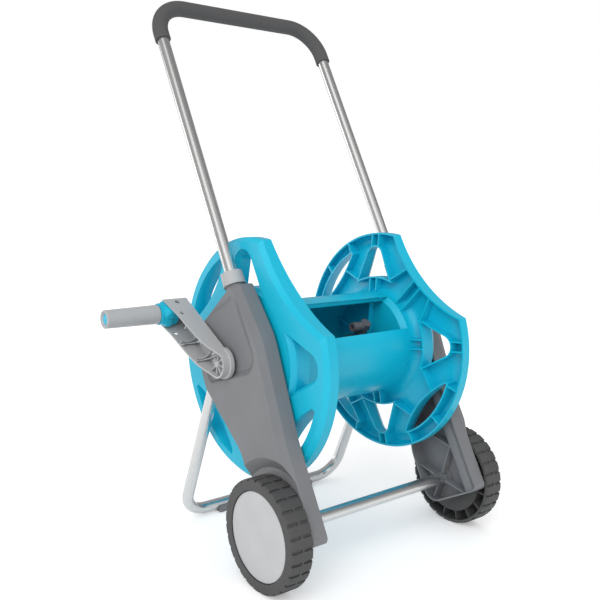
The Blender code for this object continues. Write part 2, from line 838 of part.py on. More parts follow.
def foot_pad(side):
    """Clip under the leg's cross run that meets the ground."""
    saddle = TUBE_R + GAP
    front = LEG_FOOT_Y - PAD_FORE
    back = LEG_FOOT_Y + PAD_AFT
    lip = math.sqrt(saddle ** 2 - (PAD_HEIGHT - LEG_Z) ** 2)
    tilt = math.asin((PAD_HEIGHT - LEG_Z) / saddle)
    cradle = arc((LEG_FOOT_Y, LEG_Z), saddle, math.pi - tilt, 2 * math.pi + tilt, math.radians(20))
    outline = [
        (front, 0.0),
        (back, 0.0),
        (back, PAD_HEIGHT - PAD_BEVEL),
        (LEG_FOOT_Y + lip + PAD_LIP, PAD_HEIGHT),
    ]
    outline += cradle
    outline += [(LEG_FOOT_Y - lip - PAD_LIP, PAD_HEIGHT), (front, PAD_HEIGHT - PAD_BEVEL)]
    return mirrored(prism(outline, PAD_X - PAD_WIDTH / 2, PAD_X + PAD_WIDTH / 2), side)


# Handle

def handle_path(foot):
    """The handle's centre line from one height on the left to the same on the right."""
    points = [
        tube_point(foot, -HANDLE_X),
        tube_point(HANDLE_RISE, -HANDLE_X),
        tube_point(HANDLE_RISE, HANDLE_X),
        tube_point(foot, HANDLE_X),
    ]
    return bent_path(points, HANDLE_BEND)


def across_tubes():
    """Unit vector square to the plane of the handle."""
    return Vector((0, math.cos(LEAN), -math.sin(LEAN)))


def handle_tube():
    return swept(handle_path(HANDLE_FOOT), across_tubes(), TUBE_R, TUBE_R - TUBE_WALL)


def handle_grip():
    return swept(handle_path(GRIP_END), across_tubes(), GRIP_R, TUBE_R + GAP)


def tube_plug(side):
    """Plug that closes a handle tube's lower end."""
    head_r = TUBE_R - GAP
    spigot_r = TUBE_R - TUBE_WALL - 2 * GAP
    head = rod(
        tube_point(HANDLE_FOOT - PLUG_HEAD), tube_point(HANDLE_FOOT - GAP), head_r, TUBE_SIDES)
    spigot = rod(
        tube_point(HANDLE_FOOT - PLUG_HEAD / 2), tube_point(HANDLE_FOOT + PLUG_REACH),
        spigot_r, TUBE_SIDES)
    return mirrored(with_added(head, spigot), side)


def clamp_nut(side):
    """Nut on a casing's neck, with a thumb rib."""
    base = NECK_TOP + GAP
    top = base + NUT_HEIGHT
    nut = rod(tube_point(base), tube_point(top), NUT_R, NUT_SEGMENTS, NUT_R - NUT_TAPER)
    outwards = Vector((1, 0, 0))
    foot = outwards * (NUT_R - 2 * NUT_TAPER)
    crest = outwards * (NUT_R + NUT_RIB_REACH)
    across = across_tubes()
    loops = []
    for up in (base + NUT_RIB_SET, top - NUT_RIB_SET):
        centre = tube_point(up)
        loops.append([
            centre + foot + across * NUT_RIB_FOOT / 2,
            centre + crest + across * NUT_RIB_CREST / 2,
            centre + crest - across * NUT_RIB_CREST / 2,
            centre + foot - across * NUT_RIB_FOOT / 2,
        ])
    nut = with_added(nut, skin(loops))
    bore = rod(tube_point(base - BEYOND), tube_point(top + BEYOND), TUBE_R + GAP)
    return mirrored(with_cut(nut, bore), side)


# Reel

def arm_angles():
    """Middles of the four window arms of a flange."""
    return [PATTERN_TURN + k * math.pi / 2 for k in range(4)]


def bite_angle():
    return PATTERN_TURN + math.pi / 4


def lens_angles():
    """Middles of the three long windows. The bite takes the place of the fourth."""
    return [bite_angle() + k * math.pi / 2 for k in (1, 2, 3)]


def chord_arc(middle_r, end_r, half):
    """Distance of the centre and radius of an arc that bows in towards the reel's axis."""
    rise = end_r * math.cos(half) - middle_r
    chord = end_r * math.sin(half)
    radius = (chord ** 2 + rise ** 2) / (2 * rise)
    return middle_r + radius, radius


def bite_centre():
    distance, radius = chord_arc(FLANGE_R - BITE_DEPTH, FLANGE_R, BITE_HALF)
    return polar(distance, bite_angle()), radius


def arm_window(angle, grow):
    """Window with a rounded point towards the rim and its base on the hub ring."""
    turn = Matrix.Rotation(-angle, 2)
    half = WINDOW_BASE_R * math.tan(WINDOW_BASE_HALF)
    corners = [
        (grow - WINDOW_BASE_R, half + grow, WINDOW_BASE_ROUND + grow),
        (grow - WINDOW_BASE_R, -half - grow, WINDOW_BASE_ROUND + grow),
        (-APEX_R - WINDOW_APEX_ROUND * 0.7 - grow, 0.0, WINDOW_APEX_ROUND + grow),
    ]
    points = []
    for a, b in rounded(corners):
        moved = turn @ Vector((a, b))
        points.append((REEL_Y + moved.x, REEL_Z + moved.y))
    return points


def lens_window(angle, grow):
    """Long window between an arc along the rim and one that bows in."""
    distance, radius = chord_arc(LENS_IN_R, LENS_OUT_R, LENS_HALF)
    centre = polar(distance, angle)
    half = LENS_HALF - (LENS_TIP - grow) / LENS_OUT_R
    outer = arc((REEL_Y, REEL_Z), LENS_OUT_R + grow, angle - half, angle + half, WINDOW_STEP)
    inward = math.asin((LENS_OUT_R - SINK) * math.sin(half) / (radius + grow))
    opposite = angle + math.pi
    inner = arc(centre, radius + grow, opposite - inward, opposite + inward, WINDOW_STEP)
    return outer + inner


def rim_profile():
    """Section of a flange's skin and rim."""
    skin_x = FLANGE_OUT_X - PLASTIC
    slack = PLASTIC * (math.sqrt(2) - 1)
    start = HUB_RING_R - PLASTIC - EMBED
    return [
        (skin_x, start),
        (skin_x, FLANGE_R - FLANGE_CHAMFER - slack),
        (FLANGE_OUT_X - FLANGE_CHAMFER - slack, FLANGE_R - PLASTIC),
        (FLANGE_IN_X, FLANGE_R - PLASTIC),
        (FLANGE_IN_X, FLANGE_R),
        (FLANGE_OUT_X - FLANGE_CHAMFER, FLANGE_R),
        (FLANGE_OUT_X, FLANGE_R - FLANGE_CHAMFER),
        (FLANGE_OUT_X, start),
    ]


def middle_profile():
    """Section of a flange's dished middle, with its drum ring and hub ring."""
    dish = FLANGE_OUT_X - DISH
    crest = FLANGE_OUT_X + SINK
    back = crest - 2 * PLASTIC
    hub = SHAFT_R + HUB_WALL / 2
    drum_in = DRUM_R - DRUM_FLARE / 2
    drum_out = DRUM_R + DRUM_FLARE
    return [
        (dish - PLASTIC, hub),
        (dish - PLASTIC, drum_in),
        (FLANGE_IN_X, drum_in),
        (FLANGE_IN_X, drum_out),
        (dish - PLASTIC, drum_out - EMBED),
        (back, HUB_RING_R - HUB_RING_LIP - PLASTIC),
        (back, HUB_RING_R - PLASTIC),
        (FLANGE_IN_X, HUB_RING_R - PLASTIC),
        (FLANGE_IN_X, HUB_RING_R),
        (crest, HUB_RING_R),
        (crest, HUB_RING_R - HUB_RING_LIP),
        (dish, drum_out + EMBED),
        (dish, hub),
    ]


def hub_profile():
    """Section of a flange's bored hub."""
    bore = SHAFT_R + GAP
    outer = SHAFT_R + HUB_WALL
    end = CASING_IN_X - EMBED
    return [(FLANGE_IN_X, bore), (FLANGE_IN_X, outer), (end, outer), (end, bore)]


def flange_ribs():
    """Ribs on a flange's inner side, at the windows' bases and points and round the rim."""
    drum = DRUM_R + DRUM_FLARE - EMBED
    ring = HUB_RING_R - EMBED
    rim = FLANGE_R - EMBED
    spans = []
    for angle in arm_angles():
        spans.append((angle, APEX_R, rim))
        spans += [(angle + turn, drum, ring) for turn in (-BASE_RIB_TURN, BASE_RIB_TURN)]
    for angle in lens_angles():
        spans += [(angle + turn, LENS_OUT_R + SINK, rim) for turn in (-LENS_HALF / 2, LENS_HALF / 2)]
        spans.append((angle, ring, LENS_IN_R - SINK))
    distance, radius = chord_arc(FLANGE_R - BITE_DEPTH, FLANGE_R, BITE_HALF)
    for turn in (-BITE_HALF / 3, BITE_HALF / 3):
        bow = math.sqrt(radius ** 2 - (distance * math.sin(turn)) ** 2)
        spans.append((bite_angle() + turn, ring, distance * math.cos(turn) - bow - SINK))
    low = FLANGE_IN_X + FLANGE_RIB_SET
    high = FLANGE_OUT_X - EMBED
    return [
        bar_between(polar(start, angle), polar(end, angle), low, high, RIB_THICK)
        for angle, start, end in spans
    ]


def bite_wall():
    """Wall along the concave edge, bevelled as the rim is."""
    centre, radius = bite_centre()
    bevel = FLANGE_OUT_X - FLANGE_CHAMFER - PLASTIC * (math.sqrt(2) - 1)
    top = FLANGE_OUT_X - EMBED
    half = BITE_HALF * 0.9
    back = bite_angle() + math.pi
    inner = arc(centre, radius - EMBED, back + half, back - half, BITE_STEP)
    loops = []
    for x, grown in ((FLANGE_IN_X + FLANGE_FRAME_SET, 0), (bevel, 0), (top, top - bevel)):
        outer = arc(centre, radius + PLASTIC + grown, back - half, back + half, BITE_STEP)
        loops.append(at_x(outer + inner, x))
    return skin(loops)


def within_rim(bm):
    """What of the mesh lies inside the middle of the rim and of its chamfer."""
    edge = EMBED * (math.sqrt(2) - 1)
    envelope = turned([
        (FLANGE_IN_X - BEYOND, 0),
        (FLANGE_IN_X - BEYOND, FLANGE_R - EMBED),
        (FLANGE_OUT_X - FLANGE_CHAMFER - edge, FLANGE_R - EMBED),
        (FLANGE_OUT_X, FLANGE_R - FLANGE_CHAMFER - EMBED - edge),
        (FLANGE_OUT_X, 0),
    ], FLANGE_SEGMENTS, (REEL_Y, REEL_Z), True)
    return combined(bm, envelope, "INTERSECT")


def bite_cutter():
    """Round cutter of the concave edge, flared towards the outer face."""
    centre, radius = bite_centre()
    start = FLANGE_IN_X - BEYOND
    bevel = FLANGE_OUT_X - FLANGE_CHAMFER
    end = FLANGE_OUT_X + BEYOND
    flare = end - bevel
    half = BITE_HALF * 0.9
    back = bite_angle() + math.pi
    loops = []
    for x, r in ((start, radius), (bevel, radius), (end, radius + flare)):
        points = arc(centre, r, back - half, back + half, BITE_STEP)
        loops.append(at_x(points + [centre], x))
    return skin(loops)


def reel_flange(side):
    """Moulded flange: smooth outside, ribbed inside, pierced by windows, with one bite."""
    reel = (REEL_Y, REEL_Z)
    flange = with_added(
        turned(rim_profile(), FLANGE_SEGMENTS, reel),
        turned(middle_profile(), DRUM_SEGMENTS, reel),
        turned(hub_profile(), HUB_SEGMENTS, reel))
    inside = (FLANGE_IN_X + FLANGE_FRAME_SET, FLANGE_OUT_X - EMBED)
    through = (FLANGE_IN_X - BEYOND, FLANGE_OUT_X + BEYOND)
    frames = [prism(arm_window(angle, FRAME_WALL), *inside) for angle in arm_angles()]
    frames += [prism(lens_window(angle, FRAME_WALL), *inside) for angle in lens_angles()]
    holes = [prism(arm_window(angle, 0), *through) for angle in arm_angles()]
    holes += [prism(lens_window(angle, 0), *through) for angle in lens_angles()]
    webs = within_rim(joined(flange_ribs()))
    flange = with_added(flange, webs, within_rim(bite_wall()), joined(frames))
    flange = with_cut(flange, joined(holes), bite_cutter())
    return mirrored(flange, side)


def drum_core():
    """Hollow drum with bulkheads, webs and a hand window towards the bite."""
    end = FLANGE_IN_X - GAP
    inner = DRUM_R - PLASTIC
    bore = SHAFT_R + GAP
    half = [
        (BULKHEAD_X - PLASTIC, inner),
        (BULKHEAD_X - PLASTIC, bore),
        (BULKHEAD_X, bore),
        (BULKHEAD_X, inner),
        (end, inner + DRUM_FLARE - PLASTIC),
        (end, DRUM_R + DRUM_FLARE),
        (end - DRUM_FLARE, DRUM_R + DRUM_FLARE / 4),
        (end - 2 * DRUM_FLARE, DRUM_R),
    ]
    profile = half + [(-x, r) for x, r in reversed(half)]
    reel = (REEL_Y, REEL_Z)
    core = turned(profile, DRUM_SEGMENTS, reel)
    webs = []
    for side in (-1, 1):
        for k in range(BULKHEAD_WEBS):
            angle = DRUM_WINDOW_TO + 2 * math.pi * (k + 0.2) / BULKHEAD_WEBS
            ends = (polar(bore + RIB_THICK, angle), polar(inner + EMBED, angle))
            span = sorted((side * (BULKHEAD_X - BULKHEAD_WEB_DEPTH), side * (BULKHEAD_X - EMBED)))
            webs.append(bar_between(*ends, *span, RIB_THICK))
    step = 2 * math.pi / DRUM_SEGMENTS
    outer = arc(reel, DRUM_R + BEYOND, DRUM_WINDOW_FROM, DRUM_WINDOW_TO, step)
    within = arc(reel, inner - PLASTIC, DRUM_WINDOW_TO, DRUM_WINDOW_FROM, step)
    window = prism(outer + within, -DRUM_WINDOW_X, DRUM_WINDOW_X)
    return with_cut(with_added(core, joined(webs)), window)


def reel_shaft():
    """Shaft through drum, flanges and casings, bored from the inlet to the spout."""
    crank_end = -(CRANK_BACK_X + 2 * CRANK_FLOOR)
    step = -(CRANK_SEAT_X - GAP)
    far = CASING_FACE_X + SHAFT_STUB
    profile = [
        (crank_end, 0),
        (crank_end, CRANK_BORE_R - GAP),
        (step, CRANK_BORE_R - GAP),
        (step, SHAFT_R),
        (far, SHAFT_R),
        (far, SHAFT_BORE_R),
        (SPOUT_X, SHAFT_BORE_R),
        (SPOUT_X, 0),
    ]
    return turned(profile, HUB_SEGMENTS, (REEL_Y, REEL_Z), True)


def hose_spout():
    """Elbow on the shaft that the hose's inner end is pushed on."""
    axis = (REEL_Y, REEL_Z)
    saddle_r = SHAFT_R + SPOUT_SADDLE_WALL
    low = SPOUT_X - SPOUT_SADDLE_HALF
    high = SPOUT_X + SPOUT_SADDLE_HALF
    saddle = turned(
        [(low, 0), (low, saddle_r), (high, saddle_r), (high, 0)], HUB_SEGMENTS, axis, True)
    inwards = Vector((-1, 0, 0))
    root = Vector((SPOUT_X, *polar(SHAFT_R, SPOUT_ANGLE)))
    crown = Vector((SPOUT_X, *polar(SPOUT_REACH + SPOUT_R, SPOUT_ANGLE)))
    elbow = Vector((SPOUT_X, *polar(SPOUT_REACH, SPOUT_ANGLE)))
    nose = elbow + inwards * SPOUT_NOSE
    riser = rod(root, crown, SPOUT_R + BARB_RISE, FITTING_SIDES)
    pipe = rod(elbow - inwards * (SPOUT_R - BARB_RISE), nose, SPOUT_R, FITTING_SIDES)
    barb_end = nose - inwards * BARB_SET
    barb = rod(
        barb_end, barb_end - inwards * BARB_LENGTH,
        SPOUT_R - SINK, FITTING_SIDES, SPOUT_R + BARB_RISE)
    channel = rod(nose + inwards * BEYOND, elbow + inwards * BARB_SET, SPOUT_BORE_R, PIN_SEGMENTS)
    bore = SHAFT_R + GAP
    shaft = turned([
        (low - BEYOND, 0), (low - BEYOND, bore), (high + BEYOND, bore), (high + BEYOND, 0),
    ], HUB_SEGMENTS, axis, True)
    return with_cut(with_added(saddle, riser, pipe, barb), shaft, channel)


def inlet_fitting():
    """Elbow outside the far casing that the supply hose is pushed on."""
    start = CASING_FACE_X + GAP
    face = start + INLET_HEIGHT
    axis = (REEL_Y, REEL_Z)
    hub = turned([
        (start, 0),
        (start, INLET_PLATE_R),
        (start + INLET_PLATE, INLET_PLATE_R),
        (start + INLET_PLATE + SINK, INLET_HUB_R),
        (face - INLET_EDGE, INLET_HUB_R),
        (face, INLET_HUB_R - INLET_EDGE),
        (face, 0),
    ], HUB_SEGMENTS, axis, True)
    middle = Vector((start + INLET_R + INLET_STANDOFF, *axis))
    down = Vector((0, math.sin(LEG_LEAN), -math.cos(LEG_LEAN)))

    def piece(first, last, radius, sides=FITTING_SIDES):
        return rod(middle + down * first, middle + down * last, radius, sides)

    stem = piece(0, INLET_DROP, INLET_NIPPLE_R)
    collar = piece(INLET_COLLAR_FROM, INLET_COLLAR_TO, INLET_R)
    lip = piece(INLET_LIP_FROM, INLET_LIP_TO, INLET_NIPPLE_R + INLET_LIP_RISE)
    channel = piece(INLET_COLLAR_FROM / 2, INLET_DROP + BEYOND, INLET_BORE_R, PIN_SEGMENTS)
    bore = SHAFT_R + GAP
    deep = start + INLET_RELIEF
    relief = turned([
        (start - BEYOND, 0), (start - BEYOND, bore), (deep, bore), (deep, 0),
    ], HUB_SEGMENTS, axis, True)
    return with_cut(with_added(hub, stem, collar, lip), relief, channel)


# Crank

def crank_outline(grow):
    """Hub end and straight arm of the crank as (along, across) points."""
    half = CRANK_HALF + grow
    end = CRANK_PIN_U + KNUCKLE_R + KNUCKLE_END_GAP + CRANK_WALL + grow
    corner = CRANK_TIP_ROUND + grow
    hub = arc((0, 0), half, math.pi / 2, -math.pi / 2, HALF_TURN_STEP)
    tip = rounded([(end, -half, corner), (end, half, corner), (0, half, 0), (0, -half, 0)])
    return hub + tip[:-2]


def crank_arm():
    """Channel-shaped arm, shallow at its hub, with walls that hold the folding handle."""
    reel = (REEL_Y, REEL_Z)
    back = -CRANK_BACK_X
    floor = back - CRANK_FLOOR
    rim = -CRANK_RIM_X
    outside = rim - 2 * BEYOND

    def loop(grow, x):
        return [crank_point(x, u, v) for u, v in crank_outline(grow)]

    arm = skin([loop(0, back), loop(0, rim)])
    hollow = skin([loop(-CRANK_WALL, floor), loop(-CRANK_WALL, outside)])
    boss = [(-CRANK_SEAT_X, 0), (-CRANK_SEAT_X, CRANK_BOSS_R)]
    boss += [(floor - CRANK_FLOOR, CRANK_BOSS_R), (floor - CRANK_FLOOR, 0)]
    webs = []
    for k in range(CRANK_HUB_WEBS):
        angle = 2 * math.pi * k / CRANK_HUB_WEBS
        along = Vector((math.cos(angle), math.sin(angle)))
        webs.append((along * (CRANK_BOSS_R - RIB_THICK), along * (CRANK_HALF - EMBED)))
    side = CRANK_HALF - EMBED
    for start in CRANK_WEBS_U:
        webs.append((Vector((start, -side)), Vector((start + side, side))))
    arm = with_added(with_cut(arm, hollow), turned(boss, HUB_SEGMENTS, reel, True))
    for first, last in webs:
        ends = (crank_point(0, *first).yz, crank_point(0, *last).yz)
        low = floor - CRANK_RIB_RISE
        arm = with_added(arm, bar_between(*ends, low, floor + EMBED, CRANK_RIB_THICK))
    brow = [
        (-CRANK_CUT, -CRANK_HUB_RIM_X),
        (CRANK_RAMP_START, -CRANK_HUB_RIM_X),
        (CRANK_RAMP_END, rim),
        (CRANK_RAMP_END, outside),
        (-CRANK_CUT, outside),
    ]
    slope = skin([[crank_point(x, u, v) for u, x in brow] for v in (-CRANK_CUT, CRANK_CUT)])
    side_holes = [
        rod(
            crank_point(-x, u, -CRANK_CUT), crank_point(-x, u, CRANK_CUT),
            PIN_R + GAP, PIN_SEGMENTS)
        for u, x in ((CRANK_PIN_U, CRANK_PIN_X), (CRANK_HOLE_U, CRANK_PIN_X + RIB_THICK))
    ]
    near = back + 2 * BEYOND
    shaft_hole = turned([
        (near, 0), (near, CRANK_BORE_R), (outside, CRANK_BORE_R), (outside, 0),
    ], HUB_SEGMENTS, reel, True)
    return with_cut(arm, slope, joined(side_holes), shaft_hole)


def crank_pin():
    """Pivot pin across the arm's end."""
    ends = [crank_point(-CRANK_PIN_X, CRANK_PIN_U, v) for v in (-CRANK_HALF, CRANK_HALF)]
    return rod(*ends, PIN_R, PIN_SEGMENTS)


def crank_knuckle():
    """Folding knuckle between the arm's walls, with the spindle that the grip turns on."""
    wide = CRANK_HALF - CRANK_WALL - 2 * GAP
    flange_x = -CRANK_PIN_X - KNUCKLE_REACH
    front = flange_x + KNUCKLE_FLANGE / 2

    def station(across, radius):
        outline = arc((0, -CRANK_PIN_X), radius, math.pi, 0, HALF_TURN_STEP)
        outline += [(-radius, front), (radius, front)]
        return [crank_point(x, CRANK_PIN_U + u, across) for u, x in outline]

    edge = wide - KNUCKLE_EDGE
    narrow = KNUCKLE_R - KNUCKLE_EDGE
    block = skin([
        station(-wide, narrow), station(-edge, KNUCKLE_R), station(edge, KNUCKLE_R),
        station(wide, narrow),
    ])
    root = flange_x + KNUCKLE_FLANGE
    tip = flange_x - GRIP_LENGTH + GRIP_RECESS
    spindle = turned([
        (root, 0),
        (root, KNUCKLE_FLANGE_R - SPINDLE_CHAMFER),
        (root - SPINDLE_CHAMFER, KNUCKLE_FLANGE_R),
        (flange_x, KNUCKLE_FLANGE_R),
        (flange_x, SPINDLE_R),
        (tip + SPINDLE_CHAMFER, SPINDLE_R),
        (tip, SPINDLE_R - SPINDLE_CHAMFER),
        (tip, 0),
    ], HUB_SEGMENTS, crank_point(0, CRANK_PIN_U, 0).yz, True)
    ends = [crank_point(-CRANK_PIN_X, CRANK_PIN_U, v) for v in (-CRANK_CUT, CRANK_CUT)]
    return with_cut(with_added(block, spindle), rod(*ends, PIN_R + GAP, PIN_SEGMENTS))


def crank_grip():
    """Sleeve that turns on the spindle."""
    root = -CRANK_PIN_X - KNUCKLE_REACH - GAP
    tip = root - GRIP_LENGTH
    bore = SPINDLE_R + GAP
    profile = [
        (root, bore),
        (root, CRANK_GRIP_ROOT_R - GRIP_EDGE),
        (root - GRIP_EDGE, CRANK_GRIP_ROOT_R),
        (tip + GRIP_EDGE, CRANK_GRIP_TIP_R),
        (tip, CRANK_GRIP_TIP_R - GRIP_EDGE),
        (tip, CRANK_GRIP_TIP_R - 2 * GRIP_EDGE),
        (tip + GRIP_RECESS, bore + GRIP_EDGE),
        (tip + GRIP_RECESS + GRIP_EDGE, bore),
    ]
    return turned(profile, HUB_SEGMENTS, crank_point(0, CRANK_PIN_U, 0).yz)


# Assembly

def stand_at_origin(root):
    """Bottom centre of the whole cart to the world's origin."""
    bpy.context.view_layer.update()
    corners = []
    for obj in bpy.data.objects:
        if obj.type == "MESH":
            corners += [obj.matrix_world @ vert.co for vert in obj.data.vertices]
    low = [min(corner[axis] for corner in corners) for axis in range(3)]
    high = [max(corner[axis] for corner in corners) for axis in range(3)]
    root.location = (-(low[0] + high[0]) / 2, -(low[1] + high[1]) / 2, -low[2])


def build():
    cleared()
    cart = body("cart_frame", (0, 0, 0))
    handle = body("handle_slide", tube_point(HANDLE_FOOT, 0), cart)
    reel = body("reel_axis", (0, REEL_Y, REEL_Z), cart)
    pivot = crank_point(-CRANK_PIN_X, CRANK_PIN_U, 0)
    fold = body("crank_fold", pivot, reel)
    grip = body("crank_grip_axis", pivot, fold)
    add("axle_tube", axle_tube(), "aluminium", cart)
    add("axle_rod", axle_rod(), "steel", cart)
    add("support_leg", support_leg(), "aluminium", cart)
    add("inlet_fitting", inlet_fitting(), "fitting", cart)
    for side, label in ((-1, "left"), (1, "right")):
        wheel_axis = body("wheel_axis_" + label, (side * WHEEL_FACE_X, 0, WHEEL_R), cart)
        nut_axis = body("nut_axis_" + label, tube_point(NECK_TOP, side * HANDLE_X), cart)
        add("side_casing_" + label, side_casing(side), "dark_grey", cart)
        add("reel_bearing_" + label, reel_bearing(side), "fitting", cart)
        add("foot_pad_" + label, foot_pad(side), "dark_grey", cart)
        add("axle_washer_" + label, axle_washer(side), "steel", cart)
        add("clamp_nut_" + label, clamp_nut(side), "light_grey", nut_axis)
        add("wheel_" + label, wheel(side), "tyre", wheel_axis)
        add("hub_cap_" + label, hub_cap(side), "pale_grey", wheel_axis)
        add("tube_plug_" + label, tube_plug(side), "fitting", handle)
        add("reel_flange_" + label, reel_flange(side), "cyan", reel)
    add("handle_tube", handle_tube(), "aluminium", handle)
    add("handle_grip", handle_grip(), "foam", handle)
    add("drum_core", drum_core(), "cyan", reel)
    add("reel_shaft", reel_shaft(), "fitting", reel)
    add("hose_spout", hose_spout(), "fitting", reel)
    add("crank_arm", crank_arm(), "light_grey", reel)
    add("crank_pin", crank_pin(), "steel", reel)
    add("crank_knuckle", crank_knuckle(), "cyan", fold)
    add("crank_grip", crank_grip(), "light_grey", grip)
    stand_at_origin(cart)


build()
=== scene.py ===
from math import asin, atan2, ceil, copysign, cos, hypot, isclose, pi, radians, sin, sqrt, tan

import bmesh
import bpy
from mathutils import Matrix, Vector


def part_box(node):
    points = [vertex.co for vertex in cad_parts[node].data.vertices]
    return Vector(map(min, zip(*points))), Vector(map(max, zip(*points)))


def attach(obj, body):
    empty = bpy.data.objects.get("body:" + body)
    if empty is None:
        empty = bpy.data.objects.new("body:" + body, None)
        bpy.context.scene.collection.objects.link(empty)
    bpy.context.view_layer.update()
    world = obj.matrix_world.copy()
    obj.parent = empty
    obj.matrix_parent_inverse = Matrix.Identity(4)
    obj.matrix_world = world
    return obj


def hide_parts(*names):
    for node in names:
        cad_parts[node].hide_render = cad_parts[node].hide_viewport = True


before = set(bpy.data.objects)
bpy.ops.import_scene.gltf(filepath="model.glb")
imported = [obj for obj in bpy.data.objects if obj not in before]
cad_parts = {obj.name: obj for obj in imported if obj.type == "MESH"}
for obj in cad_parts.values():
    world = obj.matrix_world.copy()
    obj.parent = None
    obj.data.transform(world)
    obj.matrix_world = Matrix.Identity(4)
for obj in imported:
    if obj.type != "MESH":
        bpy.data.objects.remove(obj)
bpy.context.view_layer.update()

# General clearances and walls
GAP = 0.0003
PLASTIC = 0.003
EMBED = 0.0015
SINK = 0.0004
RIB_THICK = 0.0024
BEYOND = 0.010
MITRE = sqrt(2) - 1
FLATNESS = radians(0.1)
MERGE = 1e-6
ARC_STEP = radians(7.5)
STEP_SLACK = 0.01
CORNER_STEPS = 8
CORNER_SIGNS = ((-1, -1), (1, -1), (1, 1), (-1, 1))
SMALLEST_ROUND = 0.001

# Stations along the reel's axis, from the cart's middle outwards
HALF_HOSE_WIDTH = 0.133
FLANGE_DEPTH = 0.0225
REEL_CLEARANCE = 0.0065
CASING_DEPTH = 0.035
CRANK_CLEARANCE = 0.0025
FLANGE_IN_X = HALF_HOSE_WIDTH
FLANGE_OUT_X = FLANGE_IN_X + FLANGE_DEPTH
CASING_IN_X = FLANGE_OUT_X + REEL_CLEARANCE
CASING_FACE_X = CASING_IN_X + CASING_DEPTH
BOSS_X = CASING_IN_X + 0.0012
CRANK_BACK_X = CASING_FACE_X + CRANK_CLEARANCE

# Wheels
WHEEL_R = 0.084
WHEEL_WIDTH = 0.037
ARCH_DEPTH = 0.011
ARCH_CLEARANCE = 0.0025
ARCH_FLOOR_X = CASING_FACE_X - ARCH_DEPTH
WHEEL_IN_X = ARCH_FLOOR_X + ARCH_CLEARANCE
WHEEL_FACE_X = WHEEL_IN_X + WHEEL_WIDTH
TREAD_BLOCKS = 28
TREAD_TURN = 0.25
TREAD_DEPTH = 0.0017
SLOT_WIDTH = 0.0048
SLOT_FALL = 0.0016
SLOT_REACH = 0.0150
TYRE_SEGMENTS = 168
SHOULDER = 0.0022
CAP_R = 0.0658
CAP_SEAM = 0.0012
CAP_SEAT_DEPTH = 0.0065
CAP_SEAT_X = WHEEL_FACE_X - CAP_SEAT_DEPTH
CAP_DOME = 0.0012
CAP_EDGE = 0.0016
CAP_WALL = 0.0025
CAP_RING_DEPTH = 0.010
CAP_RING_TAPER = 0.0005
INNER_DISC_R = 0.062
INNER_DISC_SET = 0.002
POCKET_R = 0.078
POCKET_RIBS = 16
POCKET_SET = 0.004
CORE_SEGMENTS = 112
WHEEL_HUB_R = 0.014
WHEEL_HUB_SET = 0.002
AXLE_R = 0.004

# Metal tubes
TUBE_R = 0.010
TUBE_WALL = 0.0012
TUBE_SIDES = 40
GRAIN_STRETCH = 0.02
BEND_STEPS = 20

# Handle
LEAN = radians(27.8)
SLEEVE_R = 0.013
HANDLE_X = CASING_IN_X + SLEEVE_R + 0.0015
HANDLE_FRONT = 0.0534
HANDLE_RISE = 0.895
HANDLE_BEND = 0.060
HANDLE_FOOT = 0.262
HANDLE_TRAVEL = 0.150
GRIP_R = 0.0134
GRIP_END = 0.821
PLUG_HEAD = 0.004
ACROSS_TUBES = Vector((0, cos(LEAN), -sin(LEAN)))

# Clamp nuts on the casings
NECK_R = 0.015
NECK_TOP = 0.3675
NUT_R = 0.018
NUT_HEIGHT = 0.0215
NUT_TAPER = 0.0008
NUT_SEGMENTS = 64
NUT_RIB_REACH = 0.0016
NUT_RIB_FOOT = 0.006
NUT_RIB_CREST = 0.004
NUT_RIB_SET = 0.001

# Side casings, their outlines as (up, front, radius) corners from the axle along the handle tubes
CASING_SHAPE = (
    (-0.0360, -0.0425, 0.026), (0.0590, -0.0415, 0.080), (0.1180, -0.0225, 0.060), (0.2430, -0.0755, 0.022),
    (0.2700, -0.0755, 0.020), (0.3390, -0.0455, 0.020), (0.3650, 0.0770, 0.008), (0.2670, 0.0935, 0.100),
    (0.1120, 0.0755, 0.120), (-0.0360, 0.0755, 0.010),
)
FACE_SHAPE = (
    (-0.0355, -0.0420, 0.026), (0.0590, -0.0410, 0.080), (0.1180, -0.0220, 0.060), (0.2430, -0.0750, 0.022),
    (0.2700, -0.0750, 0.020), (0.3380, -0.0452, 0.020), (0.3618, 0.0708, 0.006), (0.2670, 0.0885, 0.100),
    (0.1120, 0.0705, 0.120), (-0.0360, 0.0705, 0.008),
)
CASING_BEVEL_X = CASING_FACE_X - 0.013
CASING_EDGE_X = FLANGE_OUT_X + 0.0050
CASING_HEEL = 0.036
CASING_BACK = 0.074
CASING_TOP = 0.3605
WEB_SET = 0.004
WEB_THICK = 0.0025
WEB_FRONT = HANDLE_FRONT - SLEEVE_R + 2 * PLASTIC
AXLE_WEBS = ((0.0480, WEB_FRONT), (-0.0335, 0.0400), (-0.0250, -0.0300), (0.0365, -0.0410))
ZIGZAG_WEBS = (
    (0.0450, WEB_FRONT), (0.1080, -0.0240), (0.1540, WEB_FRONT), (0.1960, -0.0535), (0.2260, WEB_FRONT))
ARCH_FLOOR_R = WHEEL_R + 0.009
ARCH_FACE_R = WHEEL_R + 0.025
ARCH_REACH = 0.020
ARCH_SEGMENTS = 120
SLEEVE_SEGMENTS = 48
SLEEVE_FLOOR = HANDLE_FOOT - HANDLE_TRAVEL - PLUG_HEAD - GAP
AXLE_BOSS_X = CASING_IN_X + 0.0150
AXLE_BOSS_R = 0.0130
AXLE_SOCKET = 0.010
REEL_BOSS_R = 0.020
BEARING_WALL = 0.0034
BEARING_LENGTH = 0.026

